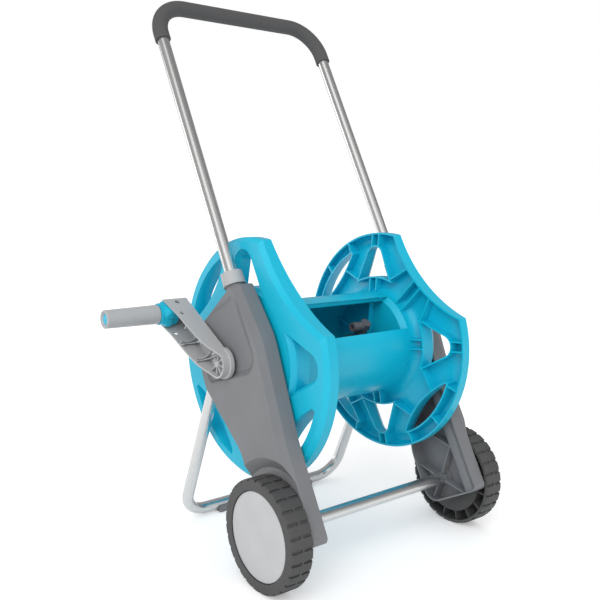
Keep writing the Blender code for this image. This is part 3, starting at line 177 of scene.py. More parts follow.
# Recess round the crank, its floor's and mouth's corners as (up from the reel, front, radius)
RECESS_FLOOR = (
    (-0.0113, -0.0580, 0.008), (0.0827, -0.0580, 0.008), (0.0807, 0.0640, 0.012), (-0.0273, 0.0620, 0.018))
RECESS_MOUTH = (
    (-0.0153, -0.0610, 0.008), (0.0857, -0.0610, 0.008), (0.0877, 0.0775, 0.015), (-0.0423, 0.0800, 0.030))
RECESS_DEPTH = 0.0100
RECESS_RISE_UP = 0.055
RECESS_RISE_BACK = 0.045
RECESS_BELOW = 0.0363
RECESS_FRONT = 0.064

# Support leg
LEG_FOOT_Y = 0.298
LEG_TOP_RISE = 0.0358
LEG_TOP_BACK = 0.0204
LEG_X = CASING_IN_X + SLEEVE_R + 0.0013
LEG_BEND = 0.045
SOCKET_END = 0.003
PAD_UNDER = 0.002
PAD_X = 0.0945
PAD_WIDTH = 0.027
PAD_FORE = 0.0145
PAD_AFT = 0.015
PAD_HEIGHT = 0.013
PAD_LIP = 0.0015
PAD_BEVEL = 0.004
PAD_STEP = radians(20)

# Reel
REEL_UP = 0.2623
SHAFT_R = 0.012
SHAFT_BORE_R = 0.007
SHAFT_STUB = 0.001
HUB_WALL = 0.006
HUB_SEGMENTS = 64
FLANGE_R = 0.193
FLANGE_CHAMFER = 0.007
FLANGE_SEGMENTS = 192
EDGE_SLOPE = 0.13
EDGE_X = FLANGE_IN_X - EDGE_SLOPE * FLANGE_R
PATTERN_TURN = radians(4)
ARM_ANGLES = [PATTERN_TURN + k * pi / 2 for k in range(4)]
BITE_ANGLE = PATTERN_TURN + pi / 4
LENS_ANGLES = [BITE_ANGLE + k * pi / 2 for k in (1, 2, 3)]
BITE_DEPTH = 0.047
BITE_BOW = (FLANGE_R - BITE_DEPTH, FLANGE_R, radians(31))
BITE_SHARE = 0.9
BITE_STEP = radians(1.5)
APEX_R = 0.1685
APEX_HALF = radians(24.5)
APEX_ROUND = 0.0185
APEX_STEPS = 10
WINDOW_BASE_R = 0.1155
WINDOW_BASE_STEPS = 8
LENS_OUT_R = 0.1697
LENS_HALF = radians(24.2)
LENS_BOW = (0.1424, LENS_OUT_R, LENS_HALF)
LENS_TIP = 0.003
LENS_STEPS = 11.8
WINDOW_FLARE = 0.0060
LENS_FLARE = 0.0040
FLARE_DEPTH = 0.0090
FRAME_WALL = 0.0026
PAIR_HALF = 0.008
BITE_PAIR_HALF = 0.009
CORNER_RIB_TURN = radians(32)
LENS_RIB_TURN = radians(22.3)
FILLET_R = 0.020
FILLET_STEPS = 12

# Sections of a flange's face and of its skin behind, as (set back from the face, radius)
FACE_LINE = ((0.0, 0.1400), (0.0, 0.1120), (0.0012, 0.1060))
SKIN_LINE = (
    (0.0, 0.1800), (0.0018, 0.1745), (0.0050, 0.1685), (0.0078, 0.1600), (0.0102, 0.1450), (0.0122, 0.1150))

# Drum
DRUM_R = 0.089
DRUM_SEGMENTS = 144
DRUM_END = 0.119
DRUM_LIP = 0.0086
DRUM_WINDOW_FROM = radians(22)
DRUM_WINDOW_TO = radians(70)
DRUM_WINDOW_STEP = radians(2.5)
DRUM_WINDOW_BEVEL = DRUM_LIP * 0.93
BULKHEAD_WEBS = 5
BULKHEAD_WEB_TURN = 0.2
BULKHEAD_WEB_DEPTH = 0.010

# Hose connector inside the drum
SPOUT_X = 0.070
SPOUT_ANGLE = radians(53)
SPOUT_REACH = 0.044
SPOUT_R = 0.008
SPOUT_BORE_R = 0.0044
SPOUT_NOSE = 0.028
SPOUT_SADDLE_HALF = 0.011
SPOUT_SADDLE_WALL = 0.005
BARB_SET = 0.004
BARB_LENGTH = 0.003
BARB_RISE = 0.001
FITTING_SIDES = 40

# Water inlet outside the far casing
INLET_R = 0.0105
INLET_NIPPLE_R = 0.0085
INLET_BORE_R = 0.0055
INLET_DROP = 0.040
INLET_PLATE_R = 0.019
INLET_PLATE = 0.0025
INLET_HUB_R = 0.0128
INLET_HEIGHT = 0.020
INLET_EDGE = 0.002
INLET_STANDOFF = 0.001
INLET_RELIEF = 0.0014
INLET_COLLAR_FROM = 0.015
INLET_COLLAR_TO = 0.021
INLET_LIP_FROM = 0.032
INLET_LIP_TO = 0.036
INLET_LIP_RISE = 0.0015

# Crank
CRANK_ANGLE = radians(30.4)
CRANK_HALF = 0.022
CRANK_CUT = 0.040
HALF_TURN_STEP = pi / 32
CRANK_WALL = 0.0028
CRANK_FLOOR = 0.0025
CRANK_FLOOR_X = CRANK_BACK_X + CRANK_FLOOR
CRANK_SEAT_X = CRANK_BACK_X - 0.0038
CRANK_BORE_R = 0.009
CRANK_BOSS_R = 0.0145
CRANK_COLLAR_R = 0.0248
CRANK_COLLAR = 0.0042
CRANK_COLLAR_FOOT = 0.0008
CRANK_COLLAR_EDGE = 0.0012
CRANK_COLLAR_SEGMENTS = 96
CRANK_RIM_X = CRANK_BACK_X + 0.0500
CRANK_TIP_ROUND = 0.007
CRANK_END_U = 0.1480
CRANK_END_ROUND = 0.0060
CRANK_END_OPEN = 0.0270
CRANK_END_SPARE = 0.0001
CRANK_SPARE = 0.004
FOLD_ROOM_R = 0.0161
FOLD_ROOM_U = (0.0105, 0.118)
CRANK_WEBS = ((0.0775, 0.0350), (0.0335, 0.0050), (0.0780, 0.0780), (0.0340, 0.0340))
CRANK_WEB_THICK = 0.0017
CRANK_WEB_SET = 0.0010
CRANK_SPOKES = 8
SPOKE_RISE = 0.0138
SPOKE_THICK = 0.0016
SPOKE_ROOT_R = 0.0035
SPOKE_HUB_R = 0.0052
SPOKE_HUB_EDGE = 0.0010
SPOKE_HUB_SEGMENTS = 32
CRANK_PIN_U = 0.134
CRANK_PIN_X = CRANK_BACK_X + 0.0215
CRANK_HOLE_U = 0.105
CRANK_HOLE_X = 0.2262
CRANK_HOLE_R = 0.0034
PIN_R = 0.0025
PIN_SET = 0.001
PIN_HEAD_R = 0.0037
PIN_HEAD_SET = 0.0008
PIN_SEGMENTS = 24

# The arm's curved rim as (along, height over its back), and the far corners above it
CRANK_RIM = (
    (-0.040, 0.0150), (-0.004, 0.0155), (0.006, 0.0192), (0.014, 0.0236), (0.022, 0.0266), (0.032, 0.0294),
    (0.050, 0.0320), (0.075, 0.0340), (0.105, 0.0362), (0.130, 0.0402), (0.170, 0.0470))
CRANK_SKY = ((0.170, 0.090), (-0.040, 0.090))

# Knuckle, its sections as (out from its pin, half length, half width, power of the superellipse)
KNUCKLE_R = 0.0106
KNUCKLE_HALF = CRANK_HALF - CRANK_WALL - 4 * GAP
KNUCKLE_SECTIONS = (
    (0.0062, KNUCKLE_R, KNUCKLE_HALF, 9), (0.0078, 0.0150, KNUCKLE_HALF, 7),
    (0.0105, 0.0166, KNUCKLE_HALF, 6), (0.0160, 0.0172, KNUCKLE_HALF, 5),
    (0.0210, 0.0173, KNUCKLE_HALF - GAP, 3.2), (0.0240, 0.0172, 0.0174, 2.2), (0.0275, 0.0172, 0.0172, 2))
KNUCKLE_BACK_STEPS = 8
KNUCKLE_BACK_POWER = 9
KNUCKLE_BACK_SPARE = 0.0012
KNUCKLE_SIDES = 64
KNUCKLE_FLANGE_R = 0.0176
KNUCKLE_FLANGE = 0.0048
KNUCKLE_REACH = 0.030
BUMP_OUT = 0.0195
BUMP_FOOT = (-0.0040, 0.0150)
BUMP_CREST = (-0.0042, 0.0184)
BUMP_R = 0.0022
BUMP_CREST_R = 0.0014
BUMP_SIDES = 20
SLIT_U = (-0.0130, -0.0300)
SLIT_V = 0.0006
SLIT_OUT = (0.0175, 0.0060)
SLIT_THICK = 0.0011
SPINDLE_R = 0.0085
SPINDLE_CHAMFER = 0.001
GRIP_LENGTH = 0.0917
CRANK_GRIP_ROOT_R = 0.0156
CRANK_GRIP_TIP_R = 0.0144
GRIP_EDGE = 0.0013
GRIP_RECESS = 0.002

# Levels of the noise in the materials
NOISE_FROM = 0.3
NOISE_TO = 0.7
GLOSS_SCALE = 0.7

# Stage, and the camera as fitted to the photo, its place counted from the floor under the axle's middle
FLOOR_REACH = 30.0
FLOOR_COLOUR = (0.92, 0.92, 0.92, 1)
FLOOR_GLOW = 0.25
DOME = 0.80
ROOM_AXIS = Vector((-0.30, 0.95, 0.0))
ROOM_RANGE = (-0.60, 0.50, 0.20, 0.36)
SOFTBOXES = (
    (Vector((-0.47, 0.875, -0.14)), 0.93, 0.985, 2.8),
    (Vector((0.10, -0.92, 0.30)), 0.75, 0.98, 0.7),
    (Vector((-0.62, -0.54, 0.58)), 0.86, 0.975, 0.9),
)
KEY_TOWARDS = Vector((0.72, 0.48, -0.62))
KEY_STRENGTH = 1.30
KEY_SPREAD = radians(50)
PHOTO_PIXELS = 600
FOCAL_PIXELS = 781.457
SENSOR = 36.0
CAMERA_PLACE = Vector((-0.84263, -0.88099, 0.56181))
CAMERA_YAW = 0.66857
CAMERA_PITCH = 0.12377
CAMERA_ROLL = -0.0006


# Side-view geometry

def slant(up, front):
    """(Y, Z) of a point of the side view given along and square to the handle tubes."""
    y = up * sin(LEAN) - front * cos(LEAN)
    z = WHEEL_R + up * cos(LEAN) + front * sin(LEAN)
    return y, z


AXLE = (0, WHEEL_R)
REEL = slant(REEL_UP, 0)
LEG_Z = PAD_UNDER + GAP + TUBE_R
LEG_TOP_Y, LEG_TOP_Z = slant(REEL_UP + LEG_TOP_RISE, -LEG_TOP_BACK)
LEG_LENGTH = hypot(LEG_FOOT_Y - LEG_TOP_Y, LEG_TOP_Z - LEG_Z)
LEG_LEAN = asin((LEG_FOOT_Y - LEG_TOP_Y) / LEG_LENGTH)
LEG_SOCKET = (CASING_BACK - LEG_TOP_BACK) / sin(LEG_LEAN + LEAN) - SLEEVE_R


def polar(radius, angle, centre=REEL):
    """(Y, Z) of a point about a centre, its angle counted from -Y towards +Z."""
    return centre[0] - radius * cos(angle), centre[1] + radius * sin(angle)


def spot(angle, along, across):
    """(Y, Z) of a point given from the reel's axis along a direction and across it."""
    y, z = polar(along, angle)
    return y + across * sin(angle), z + across * cos(angle)


def crank_point(x, along, across=0.0):
    """Point of the crank, given along its arm from the reel's axis and across it."""
    y = REEL[0] + along * cos(CRANK_ANGLE) - across * sin(CRANK_ANGLE)
    z = REEL[1] + along * sin(CRANK_ANGLE) + across * cos(CRANK_ANGLE)
    return Vector((x, y, z))


def tube_point(up, x=HANDLE_X):
    """Point on a handle tube's axis."""
    return Vector((x, *slant(up, HANDLE_FRONT)))


def leg_point(along):
    """Point on a leg tube's axis, along it from its lower corner."""
    return Vector((LEG_X, LEG_FOOT_Y - along * sin(LEG_LEAN), LEG_Z + along * cos(LEG_LEAN)))


def steps_in(sweep, step=ARC_STEP):
    """Number of facets for an arc."""
    return max(1, ceil(abs(sweep) / step - STEP_SLACK))


def arc(centre, radius, start, end, step=ARC_STEP):
    """Points on an arc of the side view, both ends included."""
    count = steps_in(end - start, step)
    return [polar(radius, start + (end - start) * k / count, centre) for k in range(count + 1)]


def rounded(corners, fixed=0):
    """Outline through (a, b, radius) corners, each turned into an arc of its radius."""
    points = []
    for index, (a, b, radius) in enumerate(corners):
        corner = Vector((a, b))
        back = (Vector(corners[index - 1][:2]) - corner).normalized()
        ahead = (Vector(corners[(index + 1) % len(corners)][:2]) - corner).normalized()
        half = back.angle(ahead) / 2
        if radius <= 0:
            points.append(corner)
            continue
        centre = corner + (back + ahead).normalized() * radius / sin(half)
        first = corner + back * radius / tan(half) - centre
        last = corner + ahead * radius / tan(half) - centre
        sweep = atan2(first.cross(last), first.dot(last))
        count = fixed or steps_in(sweep)
        points += [centre + Matrix.Rotation(sweep * k / count, 2) @ first for k in range(count + 1)]
    return [tuple(point) for point in points]


def inset(corners, distance):
    """The same corners moved inwards, for an outline that runs anticlockwise."""
    moved = []
    for index, (a, b, radius) in enumerate(corners):
        corner = Vector((a, b))
        arriving = (corner - Vector(corners[index - 1][:2])).normalized()
        leaving = (Vector(corners[(index + 1) % len(corners)][:2]) - corner).normalized()
        normal_in = Vector((-arriving.y, arriving.x))
        normal_out = Vector((-leaving.y, leaving.x))
        shift = (normal_in + normal_out) / (1 + normal_in.dot(normal_out)) * distance
        turn = 1 if arriving.cross(leaving) > 0 else -1
        moved.append((a + shift.x, b + shift.y, max(radius - turn * distance, SMALLEST_ROUND)))
    return moved


def side_outline(corners):
    """(Y, Z) outline from (up, front, radius) corners."""
    return [slant(up, front) for up, front in rounded(corners, CORNER_STEPS)]


# Mesh building

def faced_out(bm):
    """The same closed mesh with its faces pointing out."""
    bmesh.ops.recalc_face_normals(bm, faces=bm.faces)
    if bm.calc_volume(signed=True) < 0:
        bmesh.ops.reverse_faces(bm, faces=bm.faces)
    return bm


def skin(loops, closed=False):
    """Solid skinned over loops of equal length, capped at both ends or closed on itself."""
    bm = bmesh.new()
    rings = [[bm.verts.new(point) for point in loop] for loop in loops]
    spans = list(zip(rings, rings[1:]))
    if closed:
        spans.append((rings[-1], rings[0]))
    for lower, upper in spans:
        for k in range(len(lower)):
            after = (k + 1) % len(lower)
            bm.faces.new((lower[k], lower[after], upper[after], upper[k]))
    if not closed:
        bm.faces.new(rings[0])
        bm.faces.new(rings[-1])
    return faced_out(bm)


def at_x(outline, x):
    """A side-view outline as a loop at one X."""
    return [Vector((x, y, z)) for y, z in outline]


def prism(outline, x0, x1):
    """Side-view outline extruded along X."""
    return skin([at_x(outline, x0), at_x(outline, x1)])


def turned(profile, segments=HUB_SEGMENTS, centre=REEL):
    """Profile of (x, radius) points spun about an X axis, closed on itself unless it ends on that axis."""
    bm = bmesh.new()
    verts = [bm.verts.new((x, centre[0] - radius, centre[1])) for x, radius in profile]
    edges = [bm.edges.new(pair) for pair in zip(verts, verts[1:])]
    if profile[-1][1]:
        edges.append(bm.edges.new((verts[-1], verts[0])))
    bmesh.ops.spin(
        bm, geom=verts + edges, cent=(0, *centre), axis=(-1, 0, 0),
        angle=2 * pi, steps=segments, use_merge=True,
    )
    bmesh.ops.remove_doubles(bm, verts=bm.verts, dist=MERGE)
    return faced_out(bm)


def disc(x0, x1, radius, segments=HUB_SEGMENTS, centre=REEL):
    """Solid disc between two stations of an X axis."""
    return turned([(x0, 0), (x0, radius), (x1, radius), (x1, 0)], segments, centre)


def rod(start, end, radius, sides=SLEEVE_SEGMENTS, end_radius=None):
    """Round bar between two points."""
    axis = (end - start).normalized()
    side = axis.orthogonal().normalized()
    other = axis.cross(side)
    angles = [2 * pi * k / sides for k in range(sides)]
    return skin([
        [point + (side * cos(a) + other * sin(a)) * r for a in angles]
        for point, r in ((start, radius), (end, end_radius or radius))
    ])


def swept(path, flat_normal, radius, bore):
    """Round tube along a flat path, with a lengthwise grain."""
    turns = [2 * pi * k / TUBE_SIDES for k in range(TUBE_SIDES)]
    rings_out = []
    rings_in = []
    runs = []
    run = 0.0
    for index, point in enumerate(path):
        before = path[max(index - 1, 0)]
        after = path[min(index + 1, len(path) - 1)]
        run += (point - before).length
        side = flat_normal.cross((after - before).normalized())
        for rings, r in ((rings_out, radius), (rings_in, bore)):
            rings.append([point + (flat_normal * cos(turn) + side * sin(turn)) * r for turn in turns])
        runs.append(run)
    bm = skin(rings_out + rings_in[::-1], closed=True)
    layer = bm.verts.layers.float_vector.new("grain")
    bm.verts.ensure_lookup_table()
    for index, vert in enumerate(bm.verts):
        ring, k = divmod(index, TUBE_SIDES)
        along = (runs + runs[::-1])[ring]
        vert[layer] = (along * GRAIN_STRETCH, cos(turns[k]) * radius, sin(turns[k]) * radius)
    return bm


def bent_path(points, radius):
    """Path through the points, its inner corners bent to a radius."""
    path = [points[0]]
    for before, corner, after in zip(points, points[1:], points[2:]):
        back = (before - corner).normalized()
        ahead = (after - corner).normalized()
        half = back.angle(ahead) / 2
        centre = corner + (back + ahead).normalized() * radius / sin(half)
        first = corner + back * radius / tan(half) - centre
        axis = back.cross(ahead).normalized()
        sweep = pi - 2 * half
        for k in range(BEND_STEPS + 1):
            path.append(centre + Matrix.Rotation(-sweep * k / BEND_STEPS, 3, axis) @ first)
    path.append(points[-1])
    return path


def bar_between(start, end, x0, x1, thick):
    """Straight rib of the side view between two (Y, Z) points."""
    first = Vector(start)
    last = Vector(end)
    along = (last - first).normalized()
    across = Vector((-along.y, along.x)) * thick / 2
    outline = [first - across, last - across, last + across, first + across]
    return prism([tuple(point) for point in outline], x0, x1)


def joined(meshes):
    """Several meshes that don't touch, as one operand."""
    bm = bmesh.new()
    for part in meshes:
        mesh = bpy.data.meshes.new("operand")
        part.to_mesh(mesh)
        part.free()
        bm.from_mesh(mesh)
        bpy.data.meshes.remove(mesh)
    return bm


def combined(base, tool, operation):
    """Exact Boolean of two meshes."""
    objects = []
    for bm in (base, tool):
        mesh = bpy.data.meshes.new("operand")
        bm.to_mesh(mesh)
        bm.free()
        obj = bpy.data.objects.new("operand", mesh)
        bpy.context.collection.objects.link(obj)
        objects.append(obj)
    modifier = objects[0].modifiers.new("boolean", "BOOLEAN")
    modifier.operation = operation
    modifier.solver = "EXACT"
    modifier.object = objects[1]
    bpy.context.view_layer.update()
    evaluated = objects[0].evaluated_get(bpy.context.evaluated_depsgraph_get())
    result = bmesh.new()
    result.from_mesh(evaluated.to_mesh())
    evaluated.to_mesh_clear()
    for obj in objects:
        mesh = obj.data
        bpy.data.objects.remove(obj)
        bpy.data.meshes.remove(mesh)
    bmesh.ops.remove_doubles(result, verts=result.verts, dist=MERGE)
    bmesh.ops.dissolve_degenerate(result, edges=result.edges, dist=MERGE)
    bmesh.ops.dissolve_limit(
        result, angle_limit=FLATNESS, use_dissolve_boundaries=False,
        verts=result.verts, edges=result.edges)
    return result


def with_added(base, *tools):
    for tool in tools:
        base = combined(base, tool, "UNION")
    return base


def with_cut(base, *tools):
    for tool in tools:
        base = combined(base, tool, "DIFFERENCE")
    return base


def mirrored(bm, side):
    """The mesh on its own side, given as modelled at +X."""
    if side < 0:
        bmesh.ops.scale(bm, verts=bm.verts, vec=(-1, 1, 1))
        bmesh.ops.reverse_faces(bm, faces=bm.faces)
    return bm


# Wheels

def tread_slots():
    """Two rows of round-ended slots that run out over the tyre's shoulders."""
    middle = (WHEEL_IN_X + WHEEL_FACE_X) / 2
    half = SLOT_WIDTH / 2
    slots = []
    for k in range(TREAD_BLOCKS):
        angle = 2 * pi * (k + TREAD_TURN) / TREAD_BLOCKS
        for side in (-1, 1):
            open_end = middle + side * (WHEEL_WIDTH / 2 + BEYOND)
            shut_end = middle + side * (WHEEL_WIDTH / 2 - SLOT_REACH)
            outline = [(open_end, -half), (shut_end, -half)]
            for turn in (pi / 4, pi / 2, 3 * pi / 4):
                outline.append((shut_end - side * half * sin(turn), -half * cos(turn)))
            outline += [(shut_end, half), (open_end, half)]
            loops = []
            for depth, fall in ((TREAD_DEPTH, SLOT_FALL), (-TREAD_DEPTH, 0)):
                loop = []
                for x, t in outline:
                    radius = WHEEL_R - depth - fall * abs(x - shut_end) / SLOT_REACH
                    loop.append(Vector((x, *polar(radius, angle + t / WHEEL_R, AXLE))))
                loops.append(loop)
            slots.append(skin(loops))
    return joined(slots)


def wheel(side):
    """Wheel with a slotted tread, a hollow under its cap and ribbed pockets inside."""
    out = WHEEL_FACE_X
    inner = WHEEL_IN_X
    seat = CAP_SEAT_X
    bore = AXLE_R + GAP
    back = inner + INNER_DISC_SET
    rim_x = seat - PLASTIC
    rim_r = CAP_R + CAP_SEAM
    seat_r = INNER_DISC_R - PLASTIC
    hub_x = seat - WHEEL_HUB_SET
    tyre = [
        (inner, POCKET_R), (inner, WHEEL_R - SHOULDER), (inner + SHOULDER / 3, WHEEL_R - SHOULDER / 3),
        (inner + SHOULDER * 1.5, WHEEL_R), (out - SHOULDER * 1.5, WHEEL_R),
        (out - SHOULDER / 3, WHEEL_R - SHOULDER / 3), (out, WHEEL_R - SHOULDER),
        (out, rim_r), (rim_x, rim_r), (rim_x, POCKET_R),
    ]
    core = [
        (back, bore), (back, INNER_DISC_R), (rim_x + SINK, INNER_DISC_R), (rim_x + SINK, rim_r + PLASTIC),
        (seat, rim_r + PLASTIC), (seat, seat_r), (back + PLASTIC, seat_r), (back + PLASTIC, WHEEL_HUB_R),
        (hub_x, WHEEL_HUB_R), (hub_x, bore),
    ]
    ribs = []
    for k in range(POCKET_RIBS):
        angle = 2 * pi * (k + 0.5) / POCKET_RIBS
        ends = [polar(radius, angle, AXLE) for radius in (INNER_DISC_R - EMBED, POCKET_R + EMBED)]
        ribs.append(bar_between(*ends, inner + POCKET_SET, seat - EMBED, RIB_THICK))
    bm = with_cut(turned(tyre, TYRE_SEGMENTS, AXLE), tread_slots())
    return mirrored(with_added(bm, turned(core, CORE_SEGMENTS, AXLE), joined(ribs)), side)


def hub_cap(side):
    """Slightly domed cap, with a ring behind it that plugs into the wheel."""
    seat = CAP_SEAT_X + GAP
    face = WHEEL_FACE_X
    ring = INNER_DISC_R - PLASTIC - GAP
    ring_end = seat - CAP_RING_DEPTH
    back = face - CAP_EDGE - CAP_WALL
    profile = [
        (face + CAP_DOME, 0), (face, CAP_R - 5 * CAP_EDGE), (face - CAP_EDGE, CAP_R), (seat, CAP_R),
        (seat, ring), (ring_end, ring - CAP_RING_TAPER), (ring_end, ring - CAP_RING_TAPER - CAP_WALL),
        (back, ring - CAP_WALL), (back, 0),
    ]
    return mirrored(turned(profile, CORE_SEGMENTS, AXLE), side)


def axle_tube():
    """Aluminium tube between the casings, seated in their bosses."""
    end = CASING_IN_X + AXLE_SOCKET - GAP
    inner = TUBE_R - TUBE_WALL
    bm = turned([(-end, inner), (-end, TUBE_R), (end, TUBE_R), (end, inner)], SLEEVE_SEGMENTS, AXLE)
    layer = bm.verts.layers.float_vector.new("grain")
    for vert in bm.verts:
        vert[layer] = (vert.co.x * GRAIN_STRETCH, vert.co.y, vert.co.z)
    return bm


# Side casings

def recess_pocket(grow):
    """Shallow pocket round the crank's hub, soft at its front and deepest at its lower front corner."""
    floor_shape, mouth_shape = (
        [
            (REEL_UP + up + grow * outwards, front + grow * forwards, radius + grow)
            for (up, front, radius), (outwards, forwards) in zip(shape, CORNER_SIGNS)
        ]
        for shape in (RECESS_FLOOR, RECESS_MOUTH)
    )
    floor = []
    for up, front in rounded(floor_shape, CORNER_STEPS):
        rise = RECESS_RISE_UP * (up - REEL_UP + RECESS_BELOW) + RECESS_RISE_BACK * (RECESS_FRONT - front)
        floor.append(Vector((CASING_FACE_X - RECESS_DEPTH + rise - grow, *slant(up, front))))
    edge = side_outline(mouth_shape)
    return skin([floor, at_x(edge, CASING_FACE_X + SINK - grow), at_x(edge, CASING_FACE_X + BEYOND)])


def wheel_arch(grow):
    """Flared arch that clears the wheel, or its liner when it is grown by the wall."""
    slope = (ARCH_FACE_R - ARCH_FLOOR_R) / ARCH_DEPTH
    floor = ARCH_FLOOR_X - grow
    end = ARCH_FLOOR_X + ARCH_REACH
    mouth = ARCH_FLOOR_R + 2 * grow + slope * ARCH_REACH
    return turned([(floor, 0), (floor, ARCH_FLOOR_R + grow), (end, mouth), (end, 0)], ARCH_SEGMENTS, AXLE)


def casing_shell(recess):
    """Open-backed shell, its walls even behind the wheel arch and behind a crank recess."""
    edge = side_outline(CASING_SHAPE)
    outer = skin([
        at_x(edge, CASING_EDGE_X), at_x(edge, CASING_BEVEL_X), at_x(side_outline(FACE_SHAPE), CASING_FACE_X)])
    wall = side_outline(inset(CASING_SHAPE, PLASTIC))
    face = side_outline(inset(FACE_SHAPE, PLASTIC))
    cavity = skin([
        at_x(wall, CASING_EDGE_X - BEYOND), at_x(wall, CASING_BEVEL_X - PLASTIC / 2),
        at_x(face, CASING_FACE_X - PLASTIC)])
    cavity = with_cut(cavity, wheel_arch(PLASTIC))
    if recess:
        cavity = with_cut(cavity, recess_pocket(PLASTIC))
    return with_cut(outer, cavity)


def casing_webs():
    """Webs between the tube sleeve, the axle's boss and the back wall."""
    spans = [((0.0, 0.0), end) for end in AXLE_WEBS]
    spans += list(zip(ZIGZAG_WEBS, ZIGZAG_WEBS[1:]))
    return [
        bar_between(slant(*start), slant(*end), CASING_IN_X + WEB_SET, CASING_FACE_X - EMBED, WEB_THICK)
        for start, end in spans
    ]


def side_casing(side):
    """Casing with the sleeve of its handle tube, its bosses, leg socket and webs."""
    crank_side = side < 0
    sleeve = rod(tube_point(EMBED - CASING_HEEL), tube_point(CASING_TOP - 2 * PLASTIC), SLEEVE_R)
    neck = rod(tube_point(CASING_TOP - 2 * SLEEVE_R), tube_point(NECK_TOP), NECK_R)
    socket = rod(leg_point(LEG_LENGTH + SOCKET_END), leg_point(LEG_LENGTH - LEG_SOCKET), SLEEVE_R)
    bosses = [
        disc(start, CASING_FACE_X - EMBED, radius, HUB_SEGMENTS, centre)
        for start, radius, centre in ((AXLE_BOSS_X, AXLE_BOSS_R, AXLE), (BOSS_X, REEL_BOSS_R, REEL))
    ]
    tube_bore = rod(tube_point(SLEEVE_FLOOR), tube_point(NECK_TOP + BEYOND), TUBE_R + GAP)
    leg_bore = rod(leg_point(LEG_LENGTH + GAP), leg_point(LEG_LENGTH - 2 * LEG_SOCKET), TUBE_R + GAP)
    near = CASING_IN_X - BEYOND
    far = CASING_FACE_X + BEYOND
    seat_r = SHAFT_R + BEARING_WALL + 2 * GAP
    axle_bore, reel_bore = (
        turned([
            (near, 0), (near, wide), (step, wide), (step, narrow), (far, narrow), (far, 0),
        ], segments, centre)
        for wide, step, narrow, segments, centre in (
            (TUBE_R + GAP, CASING_IN_X + AXLE_SOCKET, AXLE_R + GAP, SLEEVE_SEGMENTS, AXLE),
            (seat_r, BOSS_X + BEARING_LENGTH, SHAFT_R + GAP, HUB_SEGMENTS, REEL),
        )
    )
    solid = with_added(casing_shell(crank_side), sleeve, neck, socket, *bosses, *casing_webs())
    solid = with_cut(solid, wheel_arch(0), tube_bore, leg_bore, axle_bore, reel_bore)
    if crank_side:
        solid = with_cut(solid, recess_pocket(0))
    return mirrored(solid, side)


# Support leg

def support_leg():
    """Bent tube whose ends stand in the casings' sockets."""
    top = leg_point(LEG_LENGTH)
    foot = Vector((LEG_X, LEG_FOOT_Y, LEG_Z))
    corners = [Vector((-point.x, point.y, point.z)) for point in (top, foot)] + [foot, top]
    normal = Vector((0, cos(LEG_LEAN), sin(LEG_LEAN)))
    return swept(bent_path(corners, LEG_BEND), normal, TUBE_R, TUBE_R - TUBE_WALL)


def foot_pad(side):
    """Clip under the leg's cross run that meets the ground."""
    saddle = TUBE_R + GAP
    front = LEG_FOOT_Y - PAD_FORE
    back = LEG_FOOT_Y + PAD_AFT
    lip = sqrt(saddle ** 2 - (PAD_HEIGHT - LEG_Z) ** 2) + PAD_LIP
    tilt = asin((PAD_HEIGHT - LEG_Z) / saddle)
    outline = [(front, 0.0), (back, 0.0), (back, PAD_HEIGHT - PAD_BEVEL), (LEG_FOOT_Y + lip, PAD_HEIGHT)]
    outline += arc((LEG_FOOT_Y, LEG_Z), saddle, pi - tilt, 2 * pi + tilt, PAD_STEP)
    outline += [(LEG_FOOT_Y - lip, PAD_HEIGHT), (front, PAD_HEIGHT - PAD_BEVEL)]
    return mirrored(prism(outline, PAD_X - PAD_WIDTH / 2, PAD_X + PAD_WIDTH / 2), side)


# Handle

def handle_path(foot):
    """The handle's centre line from one height on the left to the same on the right."""
    corners = ((foot, -1), (HANDLE_RISE, -1), (HANDLE_RISE, 1), (foot, 1))
    return bent_path([tube_point(up, side * HANDLE_X) for up, side in corners], HANDLE_BEND)


def handle_tube():
    return swept(handle_path(HANDLE_FOOT), ACROSS_TUBES, TUBE_R, TUBE_R - TUBE_WALL)


def handle_grip():
    return swept(handle_path(GRIP_END), ACROSS_TUBES, GRIP_R, TUBE_R + GAP)


def clamp_nut(side):
    """Nut on a casing's neck, with a thumb rib."""
    base = NECK_TOP + GAP
    top = base + NUT_HEIGHT
    foot = Vector((NUT_R - 2 * NUT_TAPER, 0, 0))
    crest = Vector((NUT_R + NUT_RIB_REACH, 0, 0))
    section = ((foot, NUT_RIB_FOOT), (crest, NUT_RIB_CREST), (crest, -NUT_RIB_CREST), (foot, -NUT_RIB_FOOT))
    rib = skin([
        [tube_point(up) + reach + ACROSS_TUBES * width / 2 for reach, width in section]
        for up in (base + NUT_RIB_SET, top - NUT_RIB_SET)
    ])
    nut = rod(tube_point(base), tube_point(top), NUT_R, NUT_SEGMENTS, NUT_R - NUT_TAPER)
    bore = rod(tube_point(base - BEYOND), tube_point(top + BEYOND), TUBE_R + GAP, NUT_SEGMENTS)
    return mirrored(with_cut(with_added(nut, rib), bore), side)


# Reel

def chord_arc(middle_r, end_r, half):
    """Distance of the centre and radius of an arc that bows in towards the reel's axis."""
    rise = end_r * cos(half) - middle_r
    chord = end_r * sin(half)
    radius = (chord ** 2 + rise ** 2) / (2 * rise)
    return middle_r + radius, radius


def bow_r(bow, turn):
    """Radius of an inward bowed arc at an angle off its middle."""
    distance, radius = chord_arc(*bow)
    return distance * cos(turn) - sqrt(radius ** 2 - (distance * sin(turn)) ** 2)


BITE_DISTANCE, BITE_R = chord_arc(*BITE_BOW)
BITE_CENTRE = polar(BITE_DISTANCE, BITE_ANGLE)


def bite_arc(radius):
    """Points along the concave edge, or beside it, about its centre."""
    back = BITE_ANGLE + pi
    reach = BITE_BOW[2] * BITE_SHARE
    return arc(BITE_CENTRE, radius, back - reach, back + reach, BITE_STEP)


